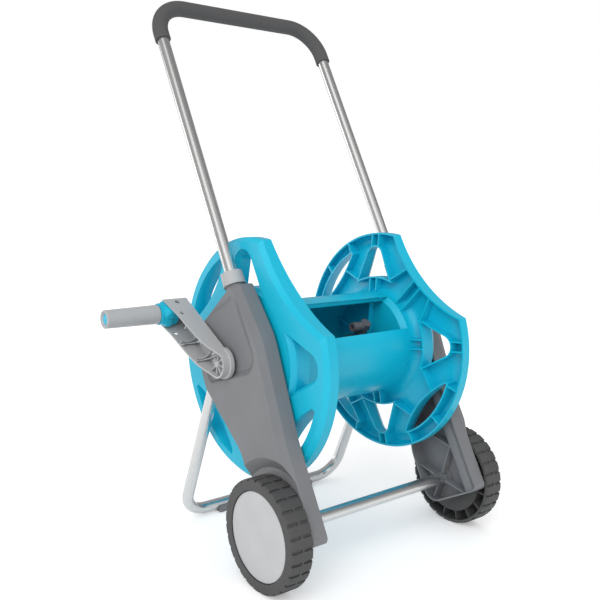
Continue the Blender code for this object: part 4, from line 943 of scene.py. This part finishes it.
def window_corner(grow):
    """Base corner of an arm's window, (along, across) from the reel's axis."""
    tip = APEX_R + APEX_ROUND * (1 / sin(APEX_HALF) - 1) + grow / sin(APEX_HALF)
    slope = tan(APEX_HALF) ** 2
    base = WINDOW_BASE_R - grow
    spare = (tip * slope) ** 2 - (1 + slope) * (tip ** 2 * slope - base ** 2)
    along = (tip * slope + sqrt(spare)) / (1 + slope)
    return along, (tip - along) * tan(APEX_HALF)


def arm_window(angle, grow):
    """Window with a rounded point towards the rim and a base that runs round the reel's axis."""
    along, across = window_corner(grow)
    base = WINDOW_BASE_R - grow
    points = []
    for k in range(-WINDOW_BASE_STEPS, WINDOW_BASE_STEPS + 1):
        turn = atan2(across, along) * k / WINDOW_BASE_STEPS
        points.append((base * cos(turn), base * sin(turn)))
    radius = APEX_ROUND + grow
    for k in range(APEX_STEPS, -APEX_STEPS - 1, -1):
        turn = (pi / 2 - APEX_HALF) * k / APEX_STEPS
        points.append((APEX_R - APEX_ROUND + radius * cos(turn), radius * sin(turn)))
    return [spot(angle, *point) for point in points]


def lens_window(angle, grow):
    """Long window between an arc along the rim and one that bows in."""
    distance, radius = chord_arc(*LENS_BOW)
    half = LENS_HALF - (LENS_TIP - grow) / LENS_OUT_R
    outer = arc(REEL, LENS_OUT_R + grow, angle - half, angle + half, half / LENS_STEPS)
    inward = asin((LENS_OUT_R - SINK) * sin(half) / (radius + grow))
    back = angle + pi
    inner = arc(polar(distance, angle), radius + grow, back - inward, back + inward, inward / LENS_STEPS)
    return outer + inner


WINDOWS = [(arm_window, angle, WINDOW_FLARE) for angle in ARM_ANGLES]
WINDOWS += [(lens_window, angle, LENS_FLARE) for angle in LENS_ANGLES]


def window_solid(outline, angle, flare, wall, spare=0.0):
    """Solid through the flange on a window's outline, widening towards the outer face."""
    narrow = outline(angle, wall)
    wide = outline(angle, wall + flare)
    loops = [at_x(narrow, EDGE_X - spare), at_x(narrow, FLANGE_OUT_X - FLARE_DEPTH), at_x(wide, FLANGE_OUT_X)]
    if spare:
        loops.append(at_x(wide, FLANGE_OUT_X + spare))
    return skin(loops)


def skin_profile():
    """Section of a flange's rim, dished skin and fillet on to the drum."""
    slack = PLASTIC * MITRE
    hub = SHAFT_R + HUB_WALL / 2
    ring = DRUM_R - DRUM_LIP / 2
    outer = [(FLANGE_OUT_X - FLANGE_CHAMFER, FLANGE_R), (FLANGE_OUT_X, FLANGE_R - FLANGE_CHAMFER)]
    outer += [(FLANGE_OUT_X - sink, radius) for sink, radius in FACE_LINE]
    plate = outer[-1][0]
    fillet = []
    for k in range(FILLET_STEPS + 1):
        angle = pi / 2 * k / FILLET_STEPS
        point = Vector((DRUM_END, DRUM_R + FILLET_R)) + Vector((sin(angle), -cos(angle))) * FILLET_R
        fillet.append((min(point.x, plate - PLASTIC), point.y))
    middle = [(plate, hub), (plate - PLASTIC, hub), (plate - PLASTIC, ring), (DRUM_END, ring)]
    inner = [(FLANGE_OUT_X - sink - PLASTIC, radius) for sink, radius in SKIN_LINE[::-1]]
    inner += [
        (FLANGE_OUT_X - PLASTIC, FLANGE_R - FLANGE_CHAMFER - slack),
        (FLANGE_OUT_X - FLANGE_CHAMFER - slack, FLANGE_R - PLASTIC),
        (FLANGE_IN_X, FLANGE_R - PLASTIC), (FLANGE_IN_X, FLANGE_R),
    ]
    return outer + middle + fillet + inner


def hub_profile():
    """Section of a flange's bored hub."""
    bore = SHAFT_R + GAP
    outer = SHAFT_R + HUB_WALL
    end = CASING_IN_X - EMBED
    return [(FLANGE_IN_X, bore), (FLANGE_IN_X, outer), (end, outer), (end, bore)]


def flange_ribs():
    """Ribs on a flange's inner side: pairs at its windows and bite, and one from each window's corners."""
    rim = FLANGE_R - EMBED
    along, across = window_corner(0)
    corner = atan2(across, along)
    spans = []
    for angle in ARM_ANGLES:
        for side in (-1, 1):
            pair = side * PAIR_HALF
            spans.append((spot(angle, APEX_R, pair), spot(angle, rim - SINK, pair)))
            spans.append((spot(angle, DRUM_R, pair), spot(angle, WINDOW_BASE_R, pair)))
            bow = BITE_BOW if isclose(angle + side * pi / 4, BITE_ANGLE) else LENS_BOW
            reach = bow_r(bow, pi / 4 - CORNER_RIB_TURN) - SINK
            start = polar(WINDOW_BASE_R + SINK, angle + side * corner)
            spans.append((start, polar(reach, angle + side * CORNER_RIB_TURN)))
    for angle in LENS_ANGLES:
        for turn in (-LENS_RIB_TURN, 0, LENS_RIB_TURN):
            spans.append((polar(LENS_OUT_R + SINK, angle + turn), polar(rim, angle + turn)))
    for pair in (-BITE_PAIR_HALF, BITE_PAIR_HALF):
        spans.append((spot(BITE_ANGLE, DRUM_R, pair), spot(BITE_ANGLE, FLANGE_R - BITE_DEPTH, pair)))
    return [bar_between(*span, EDGE_X, FLANGE_OUT_X, RIB_THICK) for span in spans]


def bite_wall():
    """Wall along the concave edge, bevelled as the rim is."""
    bevel = FLANGE_OUT_X - FLANGE_CHAMFER - PLASTIC * MITRE
    top = FLANGE_OUT_X - EMBED
    inner = bite_arc(BITE_R - EMBED)[::-1]
    return skin([
        at_x(bite_arc(BITE_R + PLASTIC + grown) + inner, x)
        for x, grown in ((EDGE_X, 0), (bevel, 0), (top, top - bevel))
    ])


def bite_cutter():
    """Round cutter of the concave edge, flared towards the outer face."""
    bevel = FLANGE_OUT_X - FLANGE_CHAMFER
    end = FLANGE_OUT_X + BEYOND
    return skin([
        at_x(bite_arc(radius) + [BITE_CENTRE], x)
        for x, radius in ((FLANGE_IN_X - BEYOND, BITE_R), (bevel, BITE_R), (end, BITE_R + end - bevel))
    ])


def within_rim(bm):
    """What of the mesh lies between the cone of the free edges and the skin."""
    rim = FLANGE_R - EMBED
    slack = EMBED * MITRE
    profile = [
        (EDGE_X, 0), (FLANGE_IN_X - SINK, rim), (FLANGE_OUT_X - FLANGE_CHAMFER - slack, rim),
        (FLANGE_OUT_X - EMBED, FLANGE_R - FLANGE_CHAMFER - slack),
    ]
    profile += [(FLANGE_OUT_X - sink - EMBED, radius) for sink, radius in FACE_LINE]
    profile.append((profile[-1][0], 0))
    return combined(bm, turned(profile, FLANGE_SEGMENTS), "INTERSECT")


def reel_flange(side):
    """Moulded flange: dished outside, ribbed inside, pierced by windows, with one bite."""
    frames = joined([window_solid(*window, FRAME_WALL) for window in WINDOWS])
    holes = joined([window_solid(*window, 0, BEYOND) for window in WINDOWS])
    walls = within_rim(with_added(joined(flange_ribs()), bite_wall(), frames))
    walls = with_cut(walls, disc(EDGE_X - BEYOND, FLANGE_OUT_X, DRUM_R - EMBED, DRUM_SEGMENTS))
    flange = with_added(turned(skin_profile(), FLANGE_SEGMENTS), walls, turned(hub_profile()))
    return mirrored(with_cut(flange, holes, bite_cutter()), side)


def drum_core():
    """Hollow drum with bulkheads, webs and a hand window whose ends are bevelled."""
    end = DRUM_END - SINK
    inner = DRUM_R - DRUM_LIP
    bore = SHAFT_R + GAP
    plate = DRUM_END - DRUM_LIP
    half = [
        (plate, inner), (plate, bore), (plate + PLASTIC, bore), (plate + PLASTIC, inner - PLASTIC),
        (end, inner - PLASTIC), (end, DRUM_R),
    ]
    core = turned(half + [(-x, radius) for x, radius in half[::-1]], DRUM_SEGMENTS)
    webs = []
    for side in (-1, 1):
        span = sorted((side * (plate - BULKHEAD_WEB_DEPTH), side * (plate + EMBED)))
        for k in range(BULKHEAD_WEBS):
            angle = DRUM_WINDOW_TO + 2 * pi * (k + BULKHEAD_WEB_TURN) / BULKHEAD_WEBS
            ends = (polar(bore + RIB_THICK, angle), polar(inner + EMBED, angle))
            webs.append(bar_between(*ends, *span, RIB_THICK))
    low = plate - SINK
    section = [
        (low, inner - 2 * PLASTIC), (low, inner), (low + DRUM_WINDOW_BEVEL, DRUM_R),
        (low + 2 * DRUM_WINDOW_BEVEL, DRUM_R + DRUM_LIP),
    ]
    section += [(-x, radius) for x, radius in section[::-1]]
    loops = []
    sweep = DRUM_WINDOW_TO - DRUM_WINDOW_FROM
    count = steps_in(sweep, DRUM_WINDOW_STEP)
    for k in range(count + 1):
        angle = DRUM_WINDOW_FROM + sweep * k / count
        loops.append([Vector((x, *polar(radius, angle))) for x, radius in section])
    return with_cut(with_added(core, joined(webs)), skin(loops))


def reel_shaft():
    """Shaft through drum, flanges and casings, bored from the inlet to the spout."""
    crank_end = -(CRANK_FLOOR_X + CRANK_FLOOR)
    step = -(CRANK_SEAT_X - GAP)
    far = CASING_FACE_X + SHAFT_STUB
    return turned([
        (crank_end, 0), (crank_end, CRANK_BORE_R - GAP), (step, CRANK_BORE_R - GAP), (step, SHAFT_R),
        (far, SHAFT_R), (far, SHAFT_BORE_R), (SPOUT_X, SHAFT_BORE_R), (SPOUT_X, 0),
    ])


def hose_spout():
    """Elbow on the shaft that the hose's inner end is pushed on."""
    low = SPOUT_X - SPOUT_SADDLE_HALF
    high = SPOUT_X + SPOUT_SADDLE_HALF
    inwards = Vector((-1, 0, 0))
    root, elbow, crown = (
        Vector((SPOUT_X, *polar(radius, SPOUT_ANGLE)))
        for radius in (SHAFT_R, SPOUT_REACH, SPOUT_REACH + SPOUT_R))
    nose = elbow + inwards * SPOUT_NOSE
    barb_end = nose - inwards * BARB_SET
    solid = with_added(
        disc(low, high, SHAFT_R + SPOUT_SADDLE_WALL),
        rod(root, crown, SPOUT_R + BARB_RISE, FITTING_SIDES),
        rod(elbow - inwards * (SPOUT_R - BARB_RISE), nose, SPOUT_R, FITTING_SIDES),
        rod(barb_end, barb_end - inwards * BARB_LENGTH, SPOUT_R - SINK, FITTING_SIDES, SPOUT_R + BARB_RISE))
    shaft = disc(low - BEYOND, high + BEYOND, SHAFT_R + GAP)
    channel = rod(nose + inwards * BEYOND, elbow + inwards * BARB_SET, SPOUT_BORE_R, PIN_SEGMENTS)
    return with_cut(solid, shaft, channel)


def inlet_fitting():
    """Elbow outside the far casing that the supply hose is pushed on."""
    start = CASING_FACE_X + GAP
    plate = start + INLET_PLATE
    face = start + INLET_HEIGHT
    hub = turned([
        (start, 0), (start, INLET_PLATE_R), (plate, INLET_PLATE_R), (plate + SINK, INLET_HUB_R),
        (face - INLET_EDGE, INLET_HUB_R), (face, INLET_HUB_R - INLET_EDGE), (face, 0),
    ])
    middle = Vector((start + INLET_R + INLET_STANDOFF, *REEL))
    down = Vector((0, sin(LEG_LEAN), -cos(LEG_LEAN)))

    def piece(first, last, radius, sides=FITTING_SIDES):
        return rod(middle + down * first, middle + down * last, radius, sides)

    stem = piece(0, INLET_DROP, INLET_NIPPLE_R)
    collar = piece(INLET_COLLAR_FROM, INLET_COLLAR_TO, INLET_R)
    lip = piece(INLET_LIP_FROM, INLET_LIP_TO, INLET_NIPPLE_R + INLET_LIP_RISE)
    channel = piece(INLET_COLLAR_FROM / 2, INLET_DROP + BEYOND, INLET_BORE_R, PIN_SEGMENTS)
    relief = disc(start - BEYOND, start + INLET_RELIEF, SHAFT_R + GAP)
    return with_cut(with_added(hub, stem, collar, lip), relief, channel)


# Crank

def crank_loop(grow, x):
    """Hub end and straight arm of the crank as a loop at one X."""
    half = CRANK_HALF + grow
    end = CRANK_END_U + grow
    corner = CRANK_TIP_ROUND + grow
    hub = arc((0, 0), half, pi / 2, -pi / 2, HALF_TURN_STEP)
    tip = rounded([(end, -half, corner), (end, half, corner), (0, half, 0), (0, -half, 0)])
    return [crank_point(x, along, across) for along, across in hub + tip[:-2]]


def across_crank(profile, half=CRANK_CUT):
    """Solid across the crank with an (along, height over its back) section."""
    return skin([[crank_point(-CRANK_BACK_X - h, u, v) for u, h in profile] for v in (-half, half)])


def above_rim(lower=0.0):
    """All that lies above the arm's curved rim, or from a little below it."""
    return across_crank([(u, h - lower) for u, h in CRANK_RIM] + list(CRANK_SKY))


def fold_room():
    """Room in the arm for the folded handle."""
    return rod(*(crank_point(-CRANK_PIN_X, u) for u in FOLD_ROOM_U), FOLD_ROOM_R)


def crank_bar(ends, x0, x1, thick):
    """Straight web between two (along, across) points of the crank."""
    return bar_between(*(crank_point(0, *end).yz for end in ends), x0, x1, thick)


def crank_webs():
    """Diagonal and cross webs in the arm, scooped out where the folded handle lies."""
    side = CRANK_HALF - EMBED
    webs = with_added(*(
        crank_bar(((start, -side), (end, side)), -CRANK_RIM_X, EMBED - CRANK_FLOOR_X, CRANK_WEB_THICK)
        for start, end in CRANK_WEBS))
    shaft_room = disc(-CRANK_BACK_X, -CRANK_FLOOR_X - CRANK_FLOOR - GAP, CRANK_BOSS_R)
    return with_cut(webs, fold_room(), above_rim(CRANK_WEB_SET), shaft_room)


def crank_spokes():
    """Boss and spokes in the hub's end of the arm."""
    low = -CRANK_FLOOR_X - CRANK_FLOOR - GAP
    high = -CRANK_BACK_X - SPOKE_RISE
    crest = high - SPOKE_HUB_EDGE
    hub = turned([
        (low, 0), (low, SPOKE_HUB_R), (high, SPOKE_HUB_R), (crest, SPOKE_HUB_R - SPOKE_HUB_EDGE), (crest, 0),
    ], SPOKE_HUB_SEGMENTS)
    spokes = []
    for k in range(CRANK_SPOKES):
        angle = 2 * pi * (k + 0.5) / CRANK_SPOKES
        along = Vector((cos(angle), sin(angle)))
        spokes.append(
            crank_bar((along * SPOKE_ROOT_R, along * (CRANK_HALF - EMBED)), high + SINK, low, SPOKE_THICK))
    return with_cut(with_added(hub, *spokes), fold_room())


def crank_collar():
    """Bevelled collar under the hub's end of the arm."""
    crest = -CRANK_BACK_X - CRANK_COLLAR
    seat = -CRANK_SEAT_X
    return turned([
        (seat, 0), (seat, CRANK_COLLAR_R - CRANK_COLLAR_FOOT), (seat - CRANK_COLLAR_FOOT, CRANK_COLLAR_R),
        (crest + CRANK_COLLAR_EDGE, CRANK_COLLAR_R), (crest, CRANK_COLLAR_R - CRANK_COLLAR_EDGE), (crest, 0),
    ], CRANK_COLLAR_SEGMENTS)


def rounded_heel():
    """What rounds the arm's lower edge off at its far end."""
    start = CRANK_END_U - CRANK_END_ROUND
    end = CRANK_END_U + CRANK_SPARE
    heel = [(end, CRANK_END_ROUND)]
    for k in range(CORNER_STEPS, -1, -1):
        turn = pi / 2 * k / CORNER_STEPS
        heel.append((start + CRANK_END_ROUND * sin(turn), CRANK_END_ROUND * (1 - cos(turn))))
    return across_crank(heel + [(start, -CRANK_SPARE), (end, -CRANK_SPARE)])


def low_end():
    """What lowers the arm's end wall between its side walls."""
    start = CRANK_END_U - CRANK_WALL - EMBED
    end = CRANK_END_U + CRANK_SPARE
    sky = CRANK_SKY[0][1]
    opening = ((start, CRANK_END_OPEN), (end, CRANK_END_OPEN), (end, sky), (start, sky))
    return across_crank(opening, CRANK_HALF - CRANK_WALL + CRANK_END_SPARE)


def crank_arm():
    """Channel-shaped arm, shallow at its hub, with walls that hold the folding handle."""
    outside = -CRANK_RIM_X - 2 * BEYOND
    arm = skin([crank_loop(0, -CRANK_BACK_X), crank_loop(0, -CRANK_RIM_X)])
    hollow = skin([crank_loop(-CRANK_WALL, -CRANK_FLOOR_X), crank_loop(-CRANK_WALL, outside)])
    arm = with_cut(with_added(arm, crank_collar()), hollow)
    arm = with_added(arm, disc(-CRANK_SEAT_X, -CRANK_FLOOR_X - CRANK_FLOOR, CRANK_BOSS_R))
    side_holes = joined([
        rod(crank_point(-x, u, -CRANK_CUT), crank_point(-x, u, CRANK_CUT), radius, PIN_SEGMENTS)
        for u, x, radius in (
            (CRANK_PIN_U, CRANK_PIN_X, PIN_HEAD_R + GAP), (CRANK_HOLE_U, CRANK_HOLE_X, CRANK_HOLE_R))
    ])
    shaft_hole = disc(2 * BEYOND - CRANK_BACK_X, outside, CRANK_BORE_R)
    arm = with_cut(arm, above_rim(), rounded_heel(), side_holes, shaft_hole, low_end())
    return with_added(arm, crank_webs(), crank_spokes())


def crank_pin():
    """Pivot pin across the arm's end, with a head at each side."""
    def bar(start, end, radius):
        ends = (crank_point(-CRANK_PIN_X, CRANK_PIN_U, across) for across in (start, end))
        return rod(*ends, radius, PIN_SEGMENTS)

    inner = CRANK_HALF - CRANK_WALL + GAP
    outer = CRANK_HALF - PIN_HEAD_SET
    heads = [bar(side * inner, side * outer, PIN_HEAD_R) for side in (-1, 1)]
    return with_added(bar(PIN_SET - CRANK_HALF, CRANK_HALF - PIN_SET, PIN_R), *heads)


def knuckle_section(out, half_u, half_v, power):
    """Superellipse of the knuckle at a distance out from its pin."""
    loop = []
    for k in range(KNUCKLE_SIDES):
        turn = 2 * pi * k / KNUCKLE_SIDES
        u, v = (
            copysign(abs(share) ** (2 / power), share) * half
            for share, half in ((cos(turn), half_u), (sin(turn), half_v)))
        loop.append(crank_point(-CRANK_PIN_X - out, CRANK_PIN_U + u, v))
    return loop


def crank_knuckle():
    """Folding knuckle between the arm's walls, with the spindle that the grip turns on."""
    loops = []
    for k in range(1, KNUCKLE_BACK_STEPS + 1):
        turn = pi / 2 * k / KNUCKLE_BACK_STEPS
        half_v = KNUCKLE_HALF - KNUCKLE_BACK_SPARE * cos(turn) ** 2
        loops.append(knuckle_section(
            -KNUCKLE_R * cos(turn), KNUCKLE_R * sin(turn), half_v, KNUCKLE_BACK_POWER))
    block = skin(loops + [knuckle_section(*section) for section in KNUCKLE_SECTIONS])
    flange_x = -CRANK_PIN_X - KNUCKLE_REACH
    root = flange_x + KNUCKLE_FLANGE
    tip = flange_x - GRIP_LENGTH + GRIP_RECESS
    edge = SPINDLE_CHAMFER
    spindle = turned([
        (root, 0), (root, KNUCKLE_FLANGE_R - 2 * edge), (root - edge, KNUCKLE_FLANGE_R - edge / 3),
        (root - 2 * edge, KNUCKLE_FLANGE_R), (flange_x + edge / 2, KNUCKLE_FLANGE_R),
        (flange_x, KNUCKLE_FLANGE_R - edge / 2), (flange_x, SPINDLE_R), (tip + edge, SPINDLE_R),
        (tip, SPINDLE_R - edge), (tip, 0),
    ], HUB_SEGMENTS, crank_point(0, CRANK_PIN_U).yz)
    bump = rod(
        *(crank_point(-CRANK_PIN_X - BUMP_OUT, CRANK_PIN_U + u, v) for u, v in (BUMP_FOOT, BUMP_CREST)),
        BUMP_R, BUMP_SIDES, BUMP_CREST_R)
    slit = crank_bar(
        [(CRANK_PIN_U + u, SLIT_V) for u in SLIT_U], *(-CRANK_PIN_X - out for out in SLIT_OUT), SLIT_THICK)
    pin_ends = (crank_point(-CRANK_PIN_X, CRANK_PIN_U, across) for across in (-CRANK_CUT, CRANK_CUT))
    return with_cut(with_added(block, spindle, bump), rod(*pin_ends, PIN_R + GAP, PIN_SEGMENTS), slit)


def crank_grip():
    """Sleeve that turns on the spindle."""
    root = -CRANK_PIN_X - KNUCKLE_REACH - GAP
    tip = root - GRIP_LENGTH
    bore = SPINDLE_R + GAP
    edge = GRIP_EDGE
    return turned([
        (root, bore), (root, CRANK_GRIP_ROOT_R - edge), (root - edge, CRANK_GRIP_ROOT_R),
        (tip + edge, CRANK_GRIP_TIP_R), (tip, CRANK_GRIP_TIP_R - edge), (tip, CRANK_GRIP_TIP_R - 2 * edge),
        (tip + GRIP_RECESS, bore + edge), (tip + GRIP_RECESS + edge, bore),
    ], HUB_SEGMENTS, crank_point(0, CRANK_PIN_U).yz)


# Looks

LOOKS = {}
RANGE_SOCKETS = ("From Min", "From Max", "To Min", "To Max")


def look(name, colour, rough, metallic=0.0, tone=0.03, tone_scale=22.0, grain=0.000012, grain_scale=350.0,
         rough_vary=0.04, stretched=False, ior=1.45):
    """Material with a slow drift of tone and gloss, and a fine grain where one is given."""
    found = bpy.data.materials.new(name)
    found.use_nodes = True
    nodes = found.node_tree.nodes
    links = found.node_tree.links
    shader = nodes["Principled BSDF"]
    shader.inputs["Metallic"].default_value = metallic
    shader.inputs["IOR"].default_value = ior
    if stretched:
        place = nodes.new("ShaderNodeAttribute")
        place.attribute_name = "grain"
        where = place.outputs["Vector"]
    else:
        where = nodes.new("ShaderNodeTexCoord").outputs["Object"]

    def noise(scale, detail):
        node = nodes.new("ShaderNodeTexNoise")
        node.inputs["Scale"].default_value = scale
        node.inputs["Detail"].default_value = detail
        links.new(where, node.inputs["Vector"])
        return node.outputs["Fac"]

    def ranged(value, low, high):
        node = nodes.new("ShaderNodeMapRange")
        for socket, limit in zip(RANGE_SOCKETS, (NOISE_FROM, NOISE_TO, low, high)):
            node.inputs[socket].default_value = limit
        links.new(value, node.inputs["Value"])
        return node.outputs["Result"]

    tint = nodes.new("ShaderNodeMix")
    tint.data_type = "RGBA"
    for socket, change in (("A", -tone), ("B", tone)):
        tint.inputs[socket].default_value = (*(min(1.0, c * (1 + change)) for c in colour), 1)
    links.new(ranged(noise(tone_scale, 1), 0, 1), tint.inputs["Factor"])
    links.new(tint.outputs["Result"], shader.inputs["Base Color"])
    gloss = ranged(noise(tone_scale * GLOSS_SCALE, 0), rough - rough_vary, rough + rough_vary)
    links.new(gloss, shader.inputs["Roughness"])
    if grain:
        bump = nodes.new("ShaderNodeBump")
        bump.inputs["Strength"].default_value = 1.0
        bump.inputs["Distance"].default_value = grain
        links.new(noise(grain_scale, 2), bump.inputs["Height"])
        links.new(bump.outputs["Normal"], shader.inputs["Normal"])
    LOOKS[name] = found


look("cyan_plastic", (0.004, 0.47, 0.67), 0.30, tone=0.02, tone_scale=9.0, grain=0.0, ior=1.47)
look("dark_plastic", (0.190, 0.192, 0.202), 0.40)
look("light_plastic", (0.43, 0.44, 0.45), 0.40)
look("cap_plastic", (0.50, 0.505, 0.515), 0.42)
look("foam", (0.085, 0.085, 0.087), 0.75, grain=0.00012, grain_scale=900.0)
look("tyre", (0.072, 0.072, 0.072), 0.55, grain=0.00003, grain_scale=600.0)
look("aluminium", (0.80, 0.80, 0.795), 0.24, 0.96, tone_scale=60.0, grain=0.0, stretched=True)
look("steel", (0.55, 0.55, 0.56), 0.35, 1.0)
look("fitting_plastic", (0.12, 0.12, 0.13), 0.45)


# Assembly

LOW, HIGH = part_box("axle_rod")
SHIFT = Vector(((LOW.x + HIGH.x) / 2, (LOW.y + HIGH.y) / 2, 0))


def show(name, bm, slot, body, node, ease=0.0, sharp=30):
    """A finished piece in the world, carried by a body and standing for its CAD node."""
    bmesh.ops.translate(bm, verts=bm.verts, vec=SHIFT)
    mesh = bpy.data.meshes.new(name)
    bm.to_mesh(mesh)
    bm.free()
    mesh.shade_smooth()
    obj = bpy.data.objects.new(name, mesh)
    bpy.context.collection.objects.link(obj)
    mesh.materials.append(LOOKS[slot])
    if ease:
        bevel = obj.modifiers.new("edges", "BEVEL")
        bevel.width = ease
        bevel.segments = 2
        bevel.limit_method = "ANGLE"
        bevel.angle_limit = radians(sharp)
        obj.modifiers.new("normals", "WEIGHTED_NORMAL")
    else:
        mesh.set_sharp_from_angle(angle=radians(sharp))
    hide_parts(node)
    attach(obj, body)


show("tube_between_wheels", axle_tube(), "aluminium", "frame", "axle_tube")
show("leg", support_leg(), "aluminium", "frame", "support_leg")
show("inlet", inlet_fitting(), "fitting_plastic", "frame", "inlet_fitting", 0.0004)
for side, label in ((-1, "left"), (1, "right")):
    show("casing_" + label, side_casing(side), "dark_plastic", "frame", "side_casing_" + label, 0.0006, 20)
    show("pad_" + label, foot_pad(side), "dark_plastic", "frame", "foot_pad_" + label, 0.0006)
    show("nut_" + label, clamp_nut(side), "light_plastic", label + "_nut", "clamp_nut_" + label, 0.0006)
    show("whole_wheel_" + label, wheel(side), "tyre", label + "_wheel", "wheel_" + label)
    show("cap_" + label, hub_cap(side), "cap_plastic", label + "_wheel", "hub_cap_" + label)
    show("flange_" + label, reel_flange(side), "cyan_plastic", "reel", "reel_flange_" + label, 0.0005)
show("handle", handle_tube(), "aluminium", "handle", "handle_tube")
show("grip", handle_grip(), "foam", "handle", "handle_grip")
show("drum", drum_core(), "cyan_plastic", "reel", "drum_core", 0.0006)
show("shaft", reel_shaft(), "fitting_plastic", "reel", "reel_shaft")
show("spout", hose_spout(), "fitting_plastic", "reel", "hose_spout", 0.0003)
show("crank", crank_arm(), "light_plastic", "reel", "crank_arm", 0.0006)
show("pin", crank_pin(), "steel", "reel", "crank_pin")
show("knuckle", crank_knuckle(), "cyan_plastic", "knuckle", "crank_knuckle", 0.0006)
show("sleeve_grip", crank_grip(), "light_plastic", "sleeve", "crank_grip")

for node, slot in (
    ("axle_rod", "steel"), ("axle_washer_left", "steel"), ("axle_washer_right", "steel"),
    ("reel_bearing_left", "fitting_plastic"), ("reel_bearing_right", "fitting_plastic"),
    ("tube_plug_left", "fitting_plastic"), ("tube_plug_right", "fitting_plastic"),
):
    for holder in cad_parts[node].material_slots:
        holder.material = LOOKS[slot]


# Stage

def math_node(tree, operation, first, second):
    """Output of a math node on two sockets or numbers."""
    node = tree.nodes.new("ShaderNodeMath")
    node.operation = operation
    for socket, value in zip(node.inputs, (first, second)):
        if isinstance(value, (int, float)):
            socket.default_value = value
        else:
            tree.links.new(value, socket)
    return node.outputs[0]


def ground():
    """Pale floor that keeps the cart's shadow."""
    mesh = bpy.data.meshes.new("ground")
    corners = [(x * FLOOR_REACH, y * FLOOR_REACH, 0) for x, y in CORNER_SIGNS]
    mesh.from_pydata(corners, [], [(0, 1, 2, 3)])
    found = bpy.data.materials.new("ground")
    found.use_nodes = True
    tree = found.node_tree
    shader = tree.nodes["Principled BSDF"]
    shader.inputs["Base Color"].default_value = FLOOR_COLOUR
    shader.inputs["Roughness"].default_value = 1.0
    shader.inputs["Specular IOR Level"].default_value = 0.0
    shader.inputs["Emission Color"].default_value = (1, 1, 1, 1)
    straight = tree.nodes.new("ShaderNodeLightPath").outputs["Is Camera Ray"]
    tree.links.new(math_node(tree, "MULTIPLY", straight, FLOOR_GLOW), shader.inputs["Emission Strength"])
    mesh.materials.append(found)
    floor = bpy.data.objects.new("ground", mesh)
    bpy.context.collection.objects.link(floor)


def studio():
    """White surroundings, and for gloss a room that is darker on the photo's side, with softboxes."""
    world = bpy.data.worlds.new("studio")
    world.use_nodes = True
    bpy.context.scene.world = world
    tree = world.node_tree
    back = tree.nodes["Background"]
    path = tree.nodes.new("ShaderNodeLightPath").outputs
    straight = path["Is Camera Ray"]
    gloss = math_node(tree, "MAXIMUM", path["Is Glossy Ray"], path["Is Transmission Ray"])
    place = tree.nodes.new("ShaderNodeTexCoord")

    def lobe(axis, *limits):
        """A level that changes from one value to another as a ray turns towards an axis."""
        facing = tree.nodes.new("ShaderNodeVectorMath")
        facing.operation = "DOT_PRODUCT"
        tree.links.new(place.outputs["Generated"], facing.inputs[0])
        facing.inputs[1].default_value = axis.normalized()
        ramp = tree.nodes.new("ShaderNodeMapRange")
        ramp.interpolation_type = "SMOOTHSTEP"
        for socket, limit in zip(RANGE_SOCKETS, limits):
            ramp.inputs[socket].default_value = limit
        tree.links.new(facing.outputs["Value"], ramp.inputs["Value"])
        return ramp.outputs["Result"]

    room = lobe(ROOM_AXIS, *ROOM_RANGE)
    for axis, start, end, strength in SOFTBOXES:
        room = math_node(tree, "ADD", room, lobe(axis, start, end, 0.0, strength))
    mirrored_room = math_node(tree, "MULTIPLY", gloss, room)
    diffuse = math_node(tree, "SUBTRACT", 1.0, math_node(tree, "MAXIMUM", straight, gloss))
    level = math_node(tree, "ADD", math_node(tree, "MULTIPLY", diffuse, DOME), straight)
    tree.links.new(math_node(tree, "ADD", level, mirrored_room), back.inputs["Strength"])
    back.inputs["Color"].default_value = (1, 1, 1, 1)


def key_lamp():
    """Soft lamp over the camera's left shoulder, unseen in gloss."""
    data = bpy.data.lights.new("key", "SUN")
    data.energy = KEY_STRENGTH
    data.angle = KEY_SPREAD
    obj = bpy.data.objects.new("key", data)
    obj.rotation_euler = KEY_TOWARDS.to_track_quat("-Z", "Y").to_euler()
    obj.visible_glossy = False
    bpy.context.collection.objects.link(obj)


def camera():
    """Camera at the photo's angle."""
    data = bpy.data.cameras.new("camera")
    data.sensor_width = SENSOR
    data.lens = FOCAL_PIXELS / PHOTO_PIXELS * SENSOR
    obj = bpy.data.objects.new("camera", data)
    obj.location = CAMERA_PLACE + SHIFT
    turns = ((-CAMERA_YAW, "Z"), (pi / 2 - CAMERA_PITCH, "X"), (CAMERA_ROLL, "Z"))
    yaw, pitch, roll = (Matrix.Rotation(angle, 4, axis) for angle, axis in turns)
    obj.rotation_euler = (yaw @ pitch @ roll).to_euler()
    bpy.context.collection.objects.link(obj)
    bpy.context.scene.camera = obj


ground()
studio()
camera()
key_lamp()
bpy.context.scene.view_settings.view_transform = "Standard"
